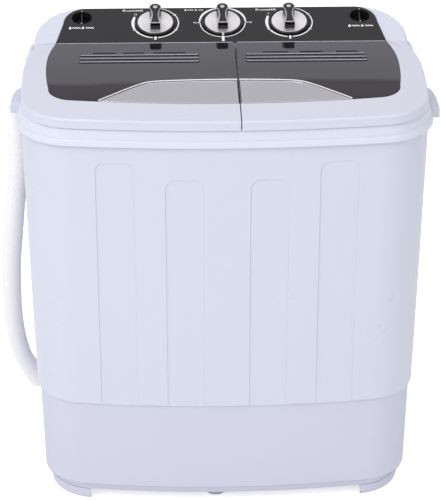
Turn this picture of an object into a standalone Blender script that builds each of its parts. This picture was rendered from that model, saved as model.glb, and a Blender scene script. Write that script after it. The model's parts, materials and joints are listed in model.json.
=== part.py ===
"""Compact twin tub washer.

A moulded rim carries a wash tub on the left and a spin casing on the right, over one white
cabinet that stands on a narrower plinth. Two smoked lids hinge in front of a sloping control
panel, and a corrugated drain hose is parked on the left side.

Metres, +X to the right seen from the front, +Y to the back, +Z up. The origin is on the floor
below the centre of the whole object's bounding box.
"""
import math

import bmesh
import bpy
from mathutils import Vector

# ---- driving dimensions ----------------------------------------------------------------------
BODY_X = 0.0179            # rim centre in the part's frame; the hose makes the box wider on -X
BODY_Y = 0.0123            # the bowed front makes the box deeper on -Y
RIM_HALF_WIDTH = 0.2875
HALF_DEPTH = 0.1828        # corner line to centre line; the front bows out further
FRONT_BOW = 0.0246
CORNER_RADIUS = 0.0707
GAP = 0.0003               # resting gap between touching pieces
WALL = 0.0025              # moulded plastic wall

FOOT_HEIGHT = 0.0165
BASE_EDGE_Z = 0.0305         # lip line, the plinth's widest low edge
BASE_TOP_Z = 0.1790
CABINET_Z = (0.1705, 0.5870)
RIM_Z = (0.5787, 0.5887, 0.6033)   # skirt edge, flange edge, top of the sloped band
DECK_Z = 0.5985
LID_Z = (0.6037, 0.6173)
SEAM_X = 0.0198
SEAM_GAP = 0.0012

HINGE_Y = 0.0961           # foot of the control panel's slope
HINGE_Z = 0.6153
PANEL_TILT = math.radians(18.5)
PANEL_LENGTH = 0.0833
LID_BACK_Y = 0.0935
LID_AXIS_Y = 0.0858
LID_AXIS_Z = 0.6110
PIN_RADIUS = 0.0015
BRACKET_X = (-0.2400, 0.0198, 0.2400)

KNOB_X = (-0.0961, 0.0030, 0.1012)
KNOB_UP = 0.0466           # up the slope from the hinge line
DISC_RADIUS = 0.0262
SKIRT_RADIUS = 0.0300
KNOB_SHAFT_RADIUS = 0.0030
INLET_X = (-0.2047, 0.2065)
INLET_UP = 0.0600
INLET_RADIUS = 0.0154

LID_HALF_WIDTH = 0.2833
LID_WIDEST_Y = -0.0150
LID_SIDE_BOW = (0.40, 1.19)         # per metre, in front of the widest point and behind it
LID_FRONT_Y = -0.1808
LID_CORNER_RADIUS = 0.0640
WINDOW_HALF_WIDTH = 0.2505
WINDOW_WIDEST_Y = 0.0150
WINDOW_SIDE_BOW = (0.75, 1.60)
WINDOW_FRONT_Y = -0.1176
WINDOW_BOW = 0.0239
WINDOW_CORNER = (0.0300, 0.0360)    # semi-axes in x and y
TRIM_HALF_WIDTH = 0.1730
TRIM_BACK_Y = -0.0549
TRIM_BOW = 0.45
TRIM_BEND_X = 0.1095       # where the trim's back edge turns down towards its ends
TRIM_BEND_SOFTNESS = 0.0060
TRIM_END_SLOPE = 0.93
PLATE = 0.0022

WASH_X = (-0.2560, 0.0000)          # wash tub cavity
WASH_Y = (-0.1600, 0.0780)
TUB_FLOOR_Z = 0.2350
PULSATOR_X = -0.1280
PULSATOR_Y = -0.0400
SHAFT_RADIUS = 0.0060
SPIN_CENTRE = (0.1440, -0.0380)
CASING_RADIUS = 0.1120
BASKET_RADIUS = 0.0980
BASKET_Z = (0.2620, 0.5350)
MOTOR_Y = 0.0850           # wash motor's axis, behind the pulsator
BELT_Z = 0.0850

HOSE_PIVOT = (-0.2855, 0.0960, 0.0520)
HOSE_RADIUS = 0.0146
HOSE_TOP = (-0.2956, 0.0000, 0.4980)
CORD_HOLE = (0.1900, 0.0600)        # x and z in the plinth's back wall
CORD_RADIUS = 0.0032


# ---- scene and materials ---------------------------------------------------------------------
def clear_scene():
    for old in list(bpy.data.objects):
        bpy.data.objects.remove(old, do_unlink=True)


def new_collection(name):
    made = bpy.data.collections.new(name)
    bpy.context.scene.collection.children.link(made)
    return made


def material(name, colour, roughness, metallic=0.0):
    made = bpy.data.materials.new(name)
    made.use_nodes = True
    shader = made.node_tree.nodes["Principled BSDF"]
    shader.inputs["Base Color"].default_value = (*colour, 1.0)
    shader.inputs["Roughness"].default_value = roughness
    shader.inputs["Metallic"].default_value = metallic
    return made


clear_scene()
PARTS = new_collection("twin_tub_washer")
CUTTERS = new_collection("cutters")

WHITE = (0.74, 0.75, 0.82)
DARK = (0.02, 0.02, 0.022)
STEEL = (0.55, 0.55, 0.56)


def empty(name, location, tilt=0.0, parent=None):
    made = bpy.data.objects.new(name, None)
    made.location = location
    made.rotation_euler = (tilt, 0.0, 0.0)
    made.parent = parent
    PARTS.objects.link(made)
    return made


BODY = empty("body_frame", (BODY_X, BODY_Y, 0.0))
PANEL = empty("panel_frame", (0.0, HINGE_Y, HINGE_Z), PANEL_TILT, BODY)


def place(name, mesh, location=(0, 0, 0), rotation=(0, 0, 0), look=None, parent=BODY):
    """Put a mesh in the scene as a part, or as a cutter when it has no look."""
    made = bpy.data.objects.new(name, mesh)
    made.location = location
    made.rotation_euler = rotation
    made.parent = parent
    if look is None:
        made.hide_render = True
        made.display_type = "WIRE"
        CUTTERS.objects.link(made)
    else:
        colour, roughness, metallic = look
        mesh.materials.append(material(name + "_material", colour, roughness, metallic))
        PARTS.objects.link(made)
    return made


GLOSS_WHITE = (WHITE, 0.25, 0.0)
SATIN_WHITE = (WHITE, 0.45, 0.0)
GLOSS_BLACK = (DARK, 0.12, 0.0)
SMOKED = ((0.09, 0.09, 0.11), 0.10, 0.0)
SILVER = ((0.62, 0.61, 0.62), 0.35, 0.6)
RUBBER = ((0.03, 0.03, 0.03), 0.8, 0.0)
METAL = (STEEL, 0.35, 1.0)


# ---- shape helpers ---------------------------------------------------------------------------
def mesh_from(bm, name):
    bmesh.ops.recalc_face_normals(bm, faces=bm.faces)
    mesh = bpy.data.meshes.new(name)
    bm.to_mesh(mesh)
    bm.free()
    return mesh


def box_mesh(name, low, high):
    bm = bmesh.new()
    bmesh.ops.create_cube(bm, size=1.0)
    size = Vector(high) - Vector(low)
    middle = (Vector(high) + Vector(low)) / 2
    bmesh.ops.scale(bm, vec=size, verts=bm.verts)
    bmesh.ops.translate(bm, vec=middle, verts=bm.verts)
    return mesh_from(bm, name)


def rod_mesh(name, radius, z_low, z_high, segments=24):
    bm = bmesh.new()
    bmesh.ops.create_cone(bm, cap_ends=True, segments=segments, radius1=radius,
                          radius2=radius, depth=z_high - z_low)
    bmesh.ops.translate(bm, vec=(0, 0, (z_low + z_high) / 2), verts=bm.verts)
    return mesh_from(bm, name)


def smooth(obj, degrees=40):
    obj.data.shade_smooth()
    obj.data.set_sharp_from_angle(angle=math.radians(degrees))


def turned(name, profile, location, look, steps=32, ring=False, rotation=(0, 0, 0), parent=BODY):
    """Revolve a profile of (radius, z) points, top to bottom on its outer side."""
    bm = bmesh.new()
    points = [bm.verts.new((radius, 0.0, z)) for radius, z in profile]
    for first, second in zip(points, points[1:]):
        bm.edges.new((first, second))
    if ring:
        bm.edges.new((points[-1], points[0]))
    mesh = bpy.data.meshes.new(name)
    bm.to_mesh(mesh)
    bm.free()
    made = place(name, mesh, location, rotation, look, parent)
    screw = made.modifiers.new("turn", "SCREW")
    screw.steps = steps
    screw.render_steps = steps
    screw.use_merge_vertices = True
    screw.merge_threshold = 0.00005
    return made


def flat_solid_mesh(name, outlines, thickness):
    """Fill flat closed outlines (holes are inner ones) and give them a thickness upward."""
    curve = bpy.data.curves.new(name, "CURVE")
    curve.dimensions = "2D"
    curve.fill_mode = "BOTH"
    curve.extrude = thickness / 2
    for outline in outlines:
        spline = curve.splines.new("POLY")
        spline.points.add(len(outline) - 1)
        for point, (x, y) in zip(spline.points, outline):
            point.co = (x, y, 0.0, 1.0)
        spline.use_cyclic_u = True
    helper = bpy.data.objects.new(name, curve)
    bpy.context.scene.collection.objects.link(helper)
    graph = bpy.context.evaluated_depsgraph_get()
    mesh = bpy.data.meshes.new_from_object(helper.evaluated_get(graph))
    bpy.data.objects.remove(helper, do_unlink=True)
    bm = bmesh.new()
    bm.from_mesh(mesh)
    bmesh.ops.remove_doubles(bm, verts=bm.verts, dist=0.00002)
    bmesh.ops.translate(bm, vec=(0, 0, thickness / 2), verts=bm.verts)
    bmesh.ops.recalc_face_normals(bm, faces=bm.faces)
    bm.to_mesh(mesh)
    bm.free()
    return mesh


def circle(centre, radius, steps=24):
    return [(centre[0] + radius * math.cos(math.tau * i / steps),
             centre[1] + radius * math.sin(math.tau * i / steps)) for i in range(steps)]


def rounded_box_outline(low, high, radius, steps=5):
    """Rounded rectangle in plan; radius is one number or four, counter-clockwise from -X -Y."""
    radii = [radius] * 4 if isinstance(radius, float) else radius
    corners = [(low[0], low[1], 1, 1, 180), (high[0], low[1], -1, 1, 270),
               (high[0], high[1], -1, -1, 0), (low[0], high[1], 1, -1, 90)]
    points = []
    for (x, y, to_x, to_y, start), size in zip(corners, radii):
        arc_steps = steps if size > 0.003 else 1
        for i in range(arc_steps + 1):
            angle = math.radians(start + 90 * i / arc_steps)
            points.append((x + to_x * size + size * math.cos(angle),
                           y + to_y * size + size * math.sin(angle)))
    return points


def body_outline(inset, radius=CORNER_RADIUS, front_inset=None, back=None, back_radius=None,
                 arc_steps=5, side_steps=2):
    """Plan outline of the machine, counter-clockwise, with its front bowed outwards."""
    half = RIM_HALF_WIDTH - inset
    front = -HALF_DEPTH + (inset if front_inset is None else front_inset)
    rear = HALF_DEPTH - inset if back is None else back
    rear_radius = radius if back_radius is None else back_radius
    corners = [(half, front, -1, 1, 270, radius), (half, rear, -1, -1, 0, rear_radius),
               (-half, rear, 1, -1, 90, rear_radius), (-half, front, 1, 1, 180, radius)]
    points = []
    for number, (x, y, to_x, to_y, start, size) in enumerate(corners):
        for i in range(arc_steps + 1):
            angle = math.radians(start + 90 * i / arc_steps)
            points.append((x + to_x * size + size * math.cos(angle),
                           y + to_y * size + size * math.sin(angle)))
        next_x, next_y, _, next_to_y, _, next_size = corners[(number + 1) % 4]
        last = points[-1]
        if number % 2 == 0:
            end = (next_x, next_y + next_to_y * next_size)
        else:
            end = (next_x - math.copysign(next_size, next_x), next_y)
        run_steps = (side_steps, 1, side_steps, 8)[number]
        for i in range(1, run_steps):
            blend = i / run_steps
            points.append((last[0] + (end[0] - last[0]) * blend,
                           last[1] + (end[1] - last[1]) * blend))
    bowed = []
    for x, y in points:
        forward = FRONT_BOW * (1 - (x / half) ** 2) * (rear - y) / (rear - front)
        bowed.append((x, y - forward))
    return bowed


def loft_mesh(name, rings, cap_low=False, cap_high=False):
    """Skin a stack of plan outlines; each ring is (outline, z), z a number or a rule of y."""
    bm = bmesh.new()
    loops = []
    for outline, height in rings:
        loops.append([bm.verts.new((x, y, height(y) if callable(height) else height))
                      for x, y in outline])
    for low, high in zip(loops, loops[1:]):
        for i in range(len(low)):
            j = (i + 1) % len(low)
            bm.faces.new((low[i], low[j], high[j], high[i]))
    if cap_low:
        bm.faces.new(list(reversed(loops[0])))
    if cap_high:
        bm.faces.new(loops[-1])
    mesh = bpy.data.meshes.new(name)
    bm.to_mesh(mesh)
    bm.free()
    return mesh


def solidify(obj, thickness, offset=-1.0):
    modifier = obj.modifiers.new("wall", "SOLIDIFY")
    modifier.thickness = thickness
    modifier.offset = offset
    modifier.use_even_offset = True
    return modifier


def bevel(obj, width, segments=2, degrees=40):
    modifier = obj.modifiers.new("soft_edges", "BEVEL")
    modifier.width = width
    modifier.segments = segments
    modifier.limit_method = "ANGLE"
    modifier.angle_limit = math.radians(degrees)
    return modifier


def combine(obj, other, operation):
    modifier = obj.modifiers.new(operation.lower(), "BOOLEAN")
    modifier.operation = operation
    modifier.solver = "EXACT"
    modifier.object = other
    return modifier


def cut(obj, cutter):
    return combine(obj, cutter, "DIFFERENCE")


def cutter_box(name, low, high, parent=BODY, location=(0, 0, 0), rotation=(0, 0, 0)):
    return place(name, box_mesh(name, low, high), location, rotation, None, parent)


def cutter_rod(name, radius, z_low, z_high, location=(0, 0, 0), rotation=(0, 0, 0), parent=BODY,
               segments=24):
    return place(name, rod_mesh(name, radius, z_low, z_high, segments), location, rotation,
                 None, parent)


def wire(name, points, radius, look, segments=2, location=(0, 0, 0)):
    """Round bar or cable along straight steps between points."""
    curve = bpy.data.curves.new(name, "CURVE")
    curve.dimensions = "3D"
    curve.bevel_depth = radius
    curve.bevel_resolution = segments
    curve.use_fill_caps = True
    spline = curve.splines.new("POLY")
    spline.points.add(len(points) - 1)
    for point, co in zip(spline.points, points):
        point.co = (*co, 1.0)
    return place(name, curve, location, (0, 0, 0), look)


def bezier_points(nodes, steps):
    """Smooth path through the nodes (Catmull-Rom), as a list of points."""
    path = [Vector(node) for node in nodes]
    ends = [path[0] * 2 - path[1]] + path + [path[-1] * 2 - path[-2]]
    points = []
    for i in range(1, len(ends) - 2):
        before, start, end, after = ends[i - 1:i + 3]
        for step in range(steps):
            t = step / steps
            points.append(0.5 * ((2 * start) + (end - before) * t
                                 + (2 * before - 5 * start + 4 * end - after) * t ** 2
                                 + (3 * start - before - 3 * end + after) * t ** 3))
    points.append(path[-1])
    return points


# ---- plinth and cabinet ----------------------------------------------------------------------
BASE_INSET = 0.0179
BASE_RADIUS = 0.0565
BASE_TUCK = 0.0110         # how far the plinth's floor edge sits inside its widest part


def build_base():
    rings = [(body_outline(BASE_INSET + BASE_TUCK, BASE_RADIUS), FOOT_HEIGHT),
             (body_outline(BASE_INSET + 0.0032, BASE_RADIUS), BASE_EDGE_Z),
             (body_outline(BASE_INSET, BASE_RADIUS), BASE_TOP_Z)]
    base = place("base", loft_mesh("base", rings, cap_low=True), look=SATIN_WHITE)
    solidify(base, WALL)
    cut(base, cutter_rod("hose_hole", HOSE_RADIUS + 2 * GAP, -0.02, 0.02,
                         (HOSE_PIVOT[0] + 0.022, HOSE_PIVOT[1], HOSE_PIVOT[2]),
                         (0, math.pi / 2, 0)))
    cut(base, cutter_rod("cord_hole", CORD_RADIUS + 2 * GAP, -0.02, 0.02,
                         (CORD_HOLE[0], HALF_DEPTH - BASE_INSET, CORD_HOLE[1]),
                         (math.pi / 2, 0, 0), segments=16))
    smooth(base)


FOOT_INNER = (0.1990, 0.0930)       # inner sides of the corner feet
CORNER_START = {(1, -1): 0, (1, 1): 7, (-1, 1): 13, (-1, -1): 20}   # in the plan's point list
FOOT_CENTER = (-0.0143, -0.1450, 0.0160)


def foot_outline(side_x, side_y, inset):
    """One corner of the plinth's plan, closed by two straight inner sides."""
    start = CORNER_START[side_x, side_y]
    arc = body_outline(inset, BASE_RADIUS)[start:start + 6]
    x, y = side_x * FOOT_INNER[0], side_y * FOOT_INNER[1]
    if abs(arc[0][0]) < abs(arc[-1][0]):
        return arc + [(arc[-1][0], y), (x, y), (x, arc[0][1])]
    return arc + [(x, arc[-1][1]), (x, y), (arc[0][0], y)]


def build_feet():
    """Corner feet follow the plinth; a small round rubber one carries the middle."""
    top = FOOT_HEIGHT - GAP
    for end_y, side_y in (("front", -1), ("rear", 1)):
        for end_x, side_x in (("left", -1), ("right", 1)):
            node = "foot_%s_%s" % (end_y, end_x)
            rings = [(foot_outline(side_x, side_y, BASE_INSET + 0.0140), 0.0),
                     (foot_outline(side_x, side_y, BASE_INSET + 0.0120), 0.0025),
                     (foot_outline(side_x, side_y, BASE_INSET + BASE_TUCK), top)]
            smooth(place(node, loft_mesh(node, rings, True, True), look=SATIN_WHITE), 35)
    x, y, radius = FOOT_CENTER
    profile = [(0, top), (radius, top), (radius * 0.94, 0.0015), (radius * 0.88, 0), (0, 0)]
    smooth(turned("foot_front_center", profile, (x, y, 0), RUBBER, steps=14))


RECESS_CENTRES = (-0.1520, -0.0570, 0.0590, 0.1540)
RECESS_TOPS = (0.5530, 0.5290, 0.5290, 0.5530)
RECESS_WIDTH = 0.0530
RECESS_DEPTH = 0.0014
CABINET_INSET = (0.0138, 0.0060)    # at the cabinet's lower and upper edge


def front_face_y(x, inset):
    """The bowed front's y at x, for a plan inset by that much."""
    half = RIM_HALF_WIDTH - inset
    return -HALF_DEPTH + inset - FRONT_BOW * (1 - (x / half) ** 2)


def build_cabinet():
    rings = [(body_outline(CABINET_INSET[0], 0.0620), CABINET_Z[0]),
             (body_outline(CABINET_INSET[1], 0.0680), CABINET_Z[1])]
    cabinet = place("cabinet", loft_mesh("cabinet", rings), look=GLOSS_WHITE)
    solidify(cabinet, WALL)
    lean = math.atan((CABINET_INSET[0] - CABINET_INSET[1]) / (CABINET_Z[1] - CABINET_Z[0]))
    half, below = RECESS_WIDTH / 2, 0.0100
    for number, (x, top) in enumerate(zip(RECESS_CENTRES, RECESS_TOPS)):
        outline = rounded_box_outline((-half, -below), (half, top - CABINET_Z[0]),
                                      [0.001, 0.001, 0.014, 0.014])
        slope = math.atan(2 * FRONT_BOW * x / (RIM_HALF_WIDTH - CABINET_INSET[1]) ** 2)
        face_y = front_face_y(x, CABINET_INSET[0])
        recess = place("recess_%d" % number, flat_solid_mesh("recess", [outline], 0.0100),
                       (x, face_y + RECESS_DEPTH, CABINET_Z[0]), (math.pi / 2 + lean, 0, slope))
        cut(cabinet, recess)
    cut(cabinet, cutter_box("rear_access", (-0.165, 0.14, 0.21), (0.165, 0.20, 0.50)))
    smooth(cabinet)


def build_rear_cover():
    lean = math.atan((CABINET_INSET[0] - CABINET_INSET[1]) / (CABINET_Z[1] - CABINET_Z[0]))
    middle_z = 0.355
    inset = CABINET_INSET[0] + (CABINET_INSET[1] - CABINET_INSET[0]) * (
        (middle_z - CABINET_Z[0]) / (CABINET_Z[1] - CABINET_Z[0]))
    face_y = HALF_DEPTH - inset
    outline = rounded_box_outline((-0.180, -0.160), (0.180, 0.160), 0.012)
    location = (0, face_y + GAP * 2, middle_z)
    rotation = (math.pi / 2 + lean, 0, math.pi)
    holes = [circle((x, -0.150), 0.0023, 12) for x in (-0.170, 0.170)]
    cover = place("rear_cover", flat_solid_mesh("rear_cover", [outline, *holes], 0.0020),
                  location, rotation, GLOSS_WHITE)
    smooth(cover)
    for number, x in enumerate((-0.170, 0.170), 1):
        profile = [(0, 0.0042), (0.0025, 0.0042), (0.0040, 0.0032), (0.0040, 0.0020 + GAP),
                   (0.0019, 0.0020 + GAP), (0.0019, 0.0004), (0, 0.0004)]
        holder = empty("screw_frame_%d" % number, location, 0.0, BODY)
        holder.rotation_euler = rotation
        smooth(turned("cover_screw_%d" % number, profile, (x, -0.150, 0), METAL, 8,
                      parent=holder))


# ---- rim, wash tub and spin casing: one moulding ---------------------------------------------
def build_twin_tub():
    rings = [(body_outline(0.0), RIM_Z[0]),
             (body_outline(0.0020), RIM_Z[1]),
             (body_outline(0.0070), RIM_Z[2]),
             (body_outline(0.0110), RIM_Z[2]),
             (body_outline(0.0125), DECK_Z)]
    tub = place("twin_tub", loft_mesh("twin_tub", rings, cap_high=True), look=GLOSS_WHITE)
    solidify(tub, WALL)
    wash_low, wash_high = (WASH_X[0], WASH_Y[0]), (WASH_X[1], WASH_Y[1])

    def wash_outline(grow, shrink=0.0):
        size = grow - shrink
        return rounded_box_outline((wash_low[0] - size, wash_low[1] - size),
                                   (wash_high[0] + size, wash_high[1] + size), 0.045 + size)

    top = DECK_Z - 0.0005
    outer = [(wash_outline(WALL, 0.016), TUB_FLOOR_Z - WALL),
             (wash_outline(WALL, 0.008), TUB_FLOOR_Z + 0.014),
             (wash_outline(WALL), top)]
    inner = [(wash_outline(0, 0.016), TUB_FLOOR_Z),
             (wash_outline(0, 0.008), TUB_FLOOR_Z + 0.0155),
             (wash_outline(0), DECK_Z + 0.02)]
    wash_body = place("wash_tub_outer", loft_mesh("wash_tub_outer", outer, True, True))
    wash_cavity = place("wash_tub_cavity", loft_mesh("wash_tub_cavity", inner, True, True))
    spin_at = (*SPIN_CENTRE, 0)
    spin_body = place("spin_casing_outer",
                      rod_mesh("spin_casing_outer", CASING_RADIUS + WALL, TUB_FLOOR_Z - WALL,
                               top, 28), spin_at)
    spin_cavity = place("spin_casing_cavity",
                        rod_mesh("spin_casing_cavity", CASING_RADIUS, TUB_FLOOR_Z,
                                 DECK_Z + 0.02, 28), spin_at)
    combine(tub, wash_body, "UNION")
    combine(tub, spin_body, "UNION")
    cut(tub, wash_cavity)
    cut(tub, spin_cavity)
    cut(tub, cutter_rod("wash_seal_hole", 0.0160, 0.20, 0.30, (PULSATOR_X, PULSATOR_Y, 0)))
    cut(tub, cutter_rod("spin_shaft_hole", 0.0140, 0.20, 0.30, spin_at))
    cut(tub, cutter_box("wiring_well", (-0.200, 0.1080, 0.56), (0.200, 0.1560, 0.62)))
    smooth(tub, 35)


HANDLE_REACH = 0.0105
HANDLE_Z = (0.5757, 0.5902)
HANDLE_WALL = 0.0022
HANDLE_CORNER = 0.0015
HANDLE_SWEEP = 0.0450        # length over which a grip's rear narrows to nothing
HANDLES = (("handle_left", -1, -0.0680, -0.0090), ("handle_right", 1, -0.1000, -0.0200))


def build_handles():
    """Side grips on the rim: upside-down troughs, open below for the fingers."""
    for name, side, front, back in HANDLES:
        def outline(inset):
            low, high = RIM_HALF_WIDTH + GAP + inset, RIM_HALF_WIDTH + GAP + HANDLE_REACH - inset
            plan = [(low, front + inset), (high - HANDLE_CORNER, front + inset),
                    (high, front + inset + HANDLE_CORNER)]
            for i in range(11):
                angle = math.pi / 2 * i / 10
                plan.append((low + (high - low) * math.cos(angle),
                             back - inset - HANDLE_SWEEP * (1 - math.sin(angle))))
            return plan if side > 0 else [(-x, y) for x, y in reversed(plan)]

        low, high = HANDLE_Z
        rings = [(outline(HANDLE_WALL), high - HANDLE_WALL), (outline(HANDLE_WALL), low),
                 (outline(0.0), low), (outline(0.0), high)]
        smooth(place(name, loft_mesh(name, rings, True, True), look=GLOSS_WHITE))


# ---- control panel ---------------------------------------------------------------------------
def slope_z(y, above=0.0):
    return HINGE_Z + (y - HINGE_Y) * math.tan(PANEL_TILT) + above


def housing_outline(inset):
    """Plan of the panel's casing: straight in front, large rounded corners behind."""
    low = (-0.2735 + inset, HINGE_Y + inset)
    high = (0.2735 - inset, 0.1790 - inset)
    return rounded_box_outline(low, high, [0.002, 0.002, 0.070 - inset, 0.070 - inset], 8)


def build_control_housing():
    rings = [(housing_outline(0.0), RIM_Z[2] + GAP),
             (housing_outline(0.0), lambda y: slope_z(y) - 0.0065),
             (housing_outline(0.0030), lambda y: slope_z(y) - 0.0017)]
    housing = place("control_housing",
                    loft_mesh("control_housing", rings, cap_high=True), look=GLOSS_WHITE)
    solidify(housing, 0.0020)
    for number, x in enumerate(KNOB_X):
        cut(housing, cutter_rod("shaft_hole_%d" % number, 0.0045, -0.03, 0.03,
                                (x, KNOB_UP, 0), parent=PANEL))
    for number, x in enumerate(INLET_X):
        cut(housing, cutter_rod("inlet_hole_%d" % number, 0.0143, -0.03, 0.03,
                                (x, INLET_UP, 0), parent=PANEL))
    smooth(housing)


def fascia_outline():
    """Trapezoid plate whose back corners are long arcs."""
    low_half, high_half, corner = 0.2415, 0.2330, 0.034
    low, high = 0.0008, PANEL_LENGTH - 0.0012
    points = [(-low_half, low), (low_half, low)]
    for side, start in ((1, 0), (-1, 90)):
        for i in range(9):
            angle = math.radians(start + 90 * i / 8)
            points.append((side * (high_half - corner) + corner * 0.95 * math.cos(angle),
                           high - corner + corner * math.sin(angle)))
    return points


def build_fascia():
    holes = [circle((x, KNOB_UP), 0.0045, 10) for x in KNOB_X]
    holes += [circle((x, INLET_UP), 0.0143, 16) for x in INLET_X]
    fascia = place("control_fascia",
                   flat_solid_mesh("control_fascia", [fascia_outline(), *holes], 0.0014),
                   (0, 0, -0.0013), look=GLOSS_BLACK, parent=PANEL)
    smooth(fascia)


KNOBS = ("wash", "selector", "spin")
LEVER_Z = (0.0042, 0.0155)   # above the panel
CUP_FLOOR = 0.0014
CUP_WALL = 0.0036
LEVER_HEAD = (0.0190, 0.0090)       # head centre up the slope, and its radius


def knob_foot_side(grow=0.0):
    """Right-hand edge of the lever's foot, square in front and waisted behind."""
    edge = [(0.0072, -0.0176 - grow), (0.0064, -0.0110), (0.0051, -0.0047), (0.0050, 0.0060 + grow)]
    return [(x + grow, y) for x, y in edge]


def knob_foot_outline(grow=0.0):
    right = knob_foot_side(grow)
    return right + [(-x, y) for x, y in reversed(right)]


def knob_lever_outline():
    """Lever in plan, pointing up the slope: its foot carried on to a round head."""
    right, (head_y, head_radius) = knob_foot_side(), LEVER_HEAD
    head = []
    for i in range(13):
        angle = math.radians(-50 + 280 * i / 12)
        head.append((head_radius * math.cos(angle), head_y + head_radius * math.sin(angle)))
    return right + head + [(-x, y) for x, y in reversed(right)]


def build_knobs():
    """Each knob is a shallow cup with a lever standing in it."""
    base_h = 0.0004
    for name, x in zip(KNOBS, KNOB_X):
        profile = [(0, CUP_FLOOR), (DISC_RADIUS + 0.0005, CUP_FLOOR),
                   (DISC_RADIUS + 0.0008, CUP_WALL), (SKIRT_RADIUS - 0.0010, CUP_WALL),
                   (SKIRT_RADIUS, CUP_WALL - 0.0012), (SKIRT_RADIUS, base_h), (0, base_h)]
        node = name + "_knob"
        knob = turned(node, profile, (x, KNOB_UP, 0), GLOSS_BLACK, 32, parent=PANEL)
        low, high = LEVER_Z
        for part, outline, z_low, z_high in (
                ("_foot", knob_foot_outline(), base_h + 0.0004, low + 0.0010),
                ("_lever", knob_lever_outline(), low, high)):
            piece = place(node + part, flat_solid_mesh(part[1:], [outline], z_high - z_low),
                          (x, KNOB_UP, z_low), parent=PANEL)
            combine(knob, piece, "UNION")
        smooth(knob)
        build_knob_disc(name, x)
        build_switch(name, x)


def build_knob_disc(name, x):
    """Silver disc in the knob's cup, round the lever's foot."""
    low, edge, middle = CUP_FLOOR + GAP, CUP_FLOOR + 0.0012, CUP_FLOOR + 0.0016
    ring = [(0.0045, middle), (DISC_RADIUS, edge), (DISC_RADIUS, low), (0.0045, low)]
    disc = turned(name + "_knob_disc", ring, (x, KNOB_UP, 0), SILVER, 32, True, parent=PANEL)
    slot = place(name + "_disc_slot", flat_solid_mesh("slot", [knob_foot_outline(0.0004)], 0.03),
                 (x, KNOB_UP, -0.0100), parent=PANEL)
    cut(disc, slot)
    smooth(disc)


def build_switch(name, x):
    """Timer or selector body on the back of the panel, with its shaft up into the knob."""
    node = "drain_selector" if name == "selector" else name + "_timer"
    low, high = (-0.021, -0.019, -0.030), (0.021, 0.019, -0.0060)
    switch = place(node, box_mesh(node, low, high), (x, KNOB_UP, 0), look=SATIN_WHITE,
                   parent=PANEL)
    bevel(switch, 0.0015, 1)
    shaft = place(node + "_shaft", rod_mesh("shaft", KNOB_SHAFT_RADIUS, -0.0080, -0.0002, 16),
                  (x, KNOB_UP, 0), parent=PANEL)
    combine(switch, shaft, "UNION")


def build_inlets():
    for name, x in zip(("wash_inlet", "spin_inlet"), INLET_X):
        ring = [(0.0125, 0.0014), (INLET_RADIUS, 0.0012), (INLET_RADIUS, 0.0004),
                (0.0140, 0.0004), (0.0140, -0.0160), (0.0125, -0.0160)]
        cup = turned(name, ring, (x, INLET_UP, 0), GLOSS_BLACK, 16, True, parent=PANEL)
        rib = place(name + "_rib", box_mesh("rib", (-0.0009, -0.0130, -0.0150),
                                            (0.0009, 0.0130, -0.0040)),
                    (x, INLET_UP, 0), parent=PANEL)
        combine(cup, rib, "UNION")
        smooth(cup)


# ---- lids ------------------------------------------------------------------------------------
def side_pull(y, widest_y, bow):
    """How far a bowed side draws in from its widest point."""
    return bow[0 if y < widest_y else 1] * (y - widest_y) ** 2


def lid_outline(inset=0.0):
    """Both lids together, with bowed sides."""
    half, corner_y = LID_HALF_WIDTH - inset, LID_FRONT_Y + LID_CORNER_RADIUS
    plan = body_outline(RIM_HALF_WIDTH - half, LID_CORNER_RADIUS,
                        front_inset=LID_FRONT_Y + HALF_DEPTH + inset, back=LID_BACK_Y - inset,
                        back_radius=0.0030, side_steps=6)
    return [(x - x / half * side_pull(max(y, corner_y), LID_WIDEST_Y, LID_SIDE_BOW), y)
            for x, y in plan]


def window_front(x):
    """Front edge of the opening, bowed like the lid's own front."""
    return WINDOW_FRONT_Y - WINDOW_BOW * (1 - (x / WINDOW_HALF_WIDTH) ** 2)


def window_outline(gap):
    """Opening shared by the smoked plate and the trim: bowed sides, open behind."""
    def half_width(y):
        return WINDOW_HALF_WIDTH - side_pull(y, WINDOW_WIDEST_Y, WINDOW_SIDE_BOW) - gap

    steps, corner_y, back_y = 8, WINDOW_FRONT_Y + WINDOW_CORNER[1], LID_BACK_Y + 0.01
    flat = half_width(corner_y) - WINDOW_CORNER[0]
    front = [(flat * i / 6, window_front(flat * i / 6) + gap) for i in range(6)]
    for i in range(steps + 1):
        angle = math.pi / 2 * i / steps
        x = flat + WINDOW_CORNER[0] * math.sin(angle)
        front.append((x, window_front(x) + gap + WINDOW_CORNER[1] * (1 - math.cos(angle))))
    across = [corner_y + (back_y - corner_y) * i / steps for i in range(1, steps + 1)]
    right = front + [(half_width(y), y) for y in across]
    return right + [(-x, y) for x, y in reversed(right[1:])]


def trim_back(x):
    """Back edge of the trim: a flat bow that bends down to the window's front edge."""
    bend = math.exp((abs(x) - TRIM_BEND_X) * TRIM_END_SLOPE / TRIM_BEND_SOFTNESS)
    return TRIM_BACK_Y - TRIM_BOW * x * x - TRIM_BEND_SOFTNESS * math.log(1 + bend)


def trim_outline(gap):
    """Half-moon along the window's front edge, with blunt ends."""
    half, steps = TRIM_HALF_WIDTH - 2 * gap, 32
    across = [half * (2 * i / steps - 1) for i in range(steps + 1)]
    front = [(x, window_front(x) + gap) for x in across[::2]]
    return front + [(x, trim_back(x) - 1.4 * gap) for x in reversed(across)]


def side_block(name, side, gap):
    """Everything on one side of the seam between the lids."""
    if side < 0:
        low_x, high_x = -0.4, SEAM_X - gap
    else:
        low_x, high_x = SEAM_X + gap, 0.4
    return cutter_box(name, (low_x, -0.4, 0.5), (high_x, LID_BACK_Y, 0.7))


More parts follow.
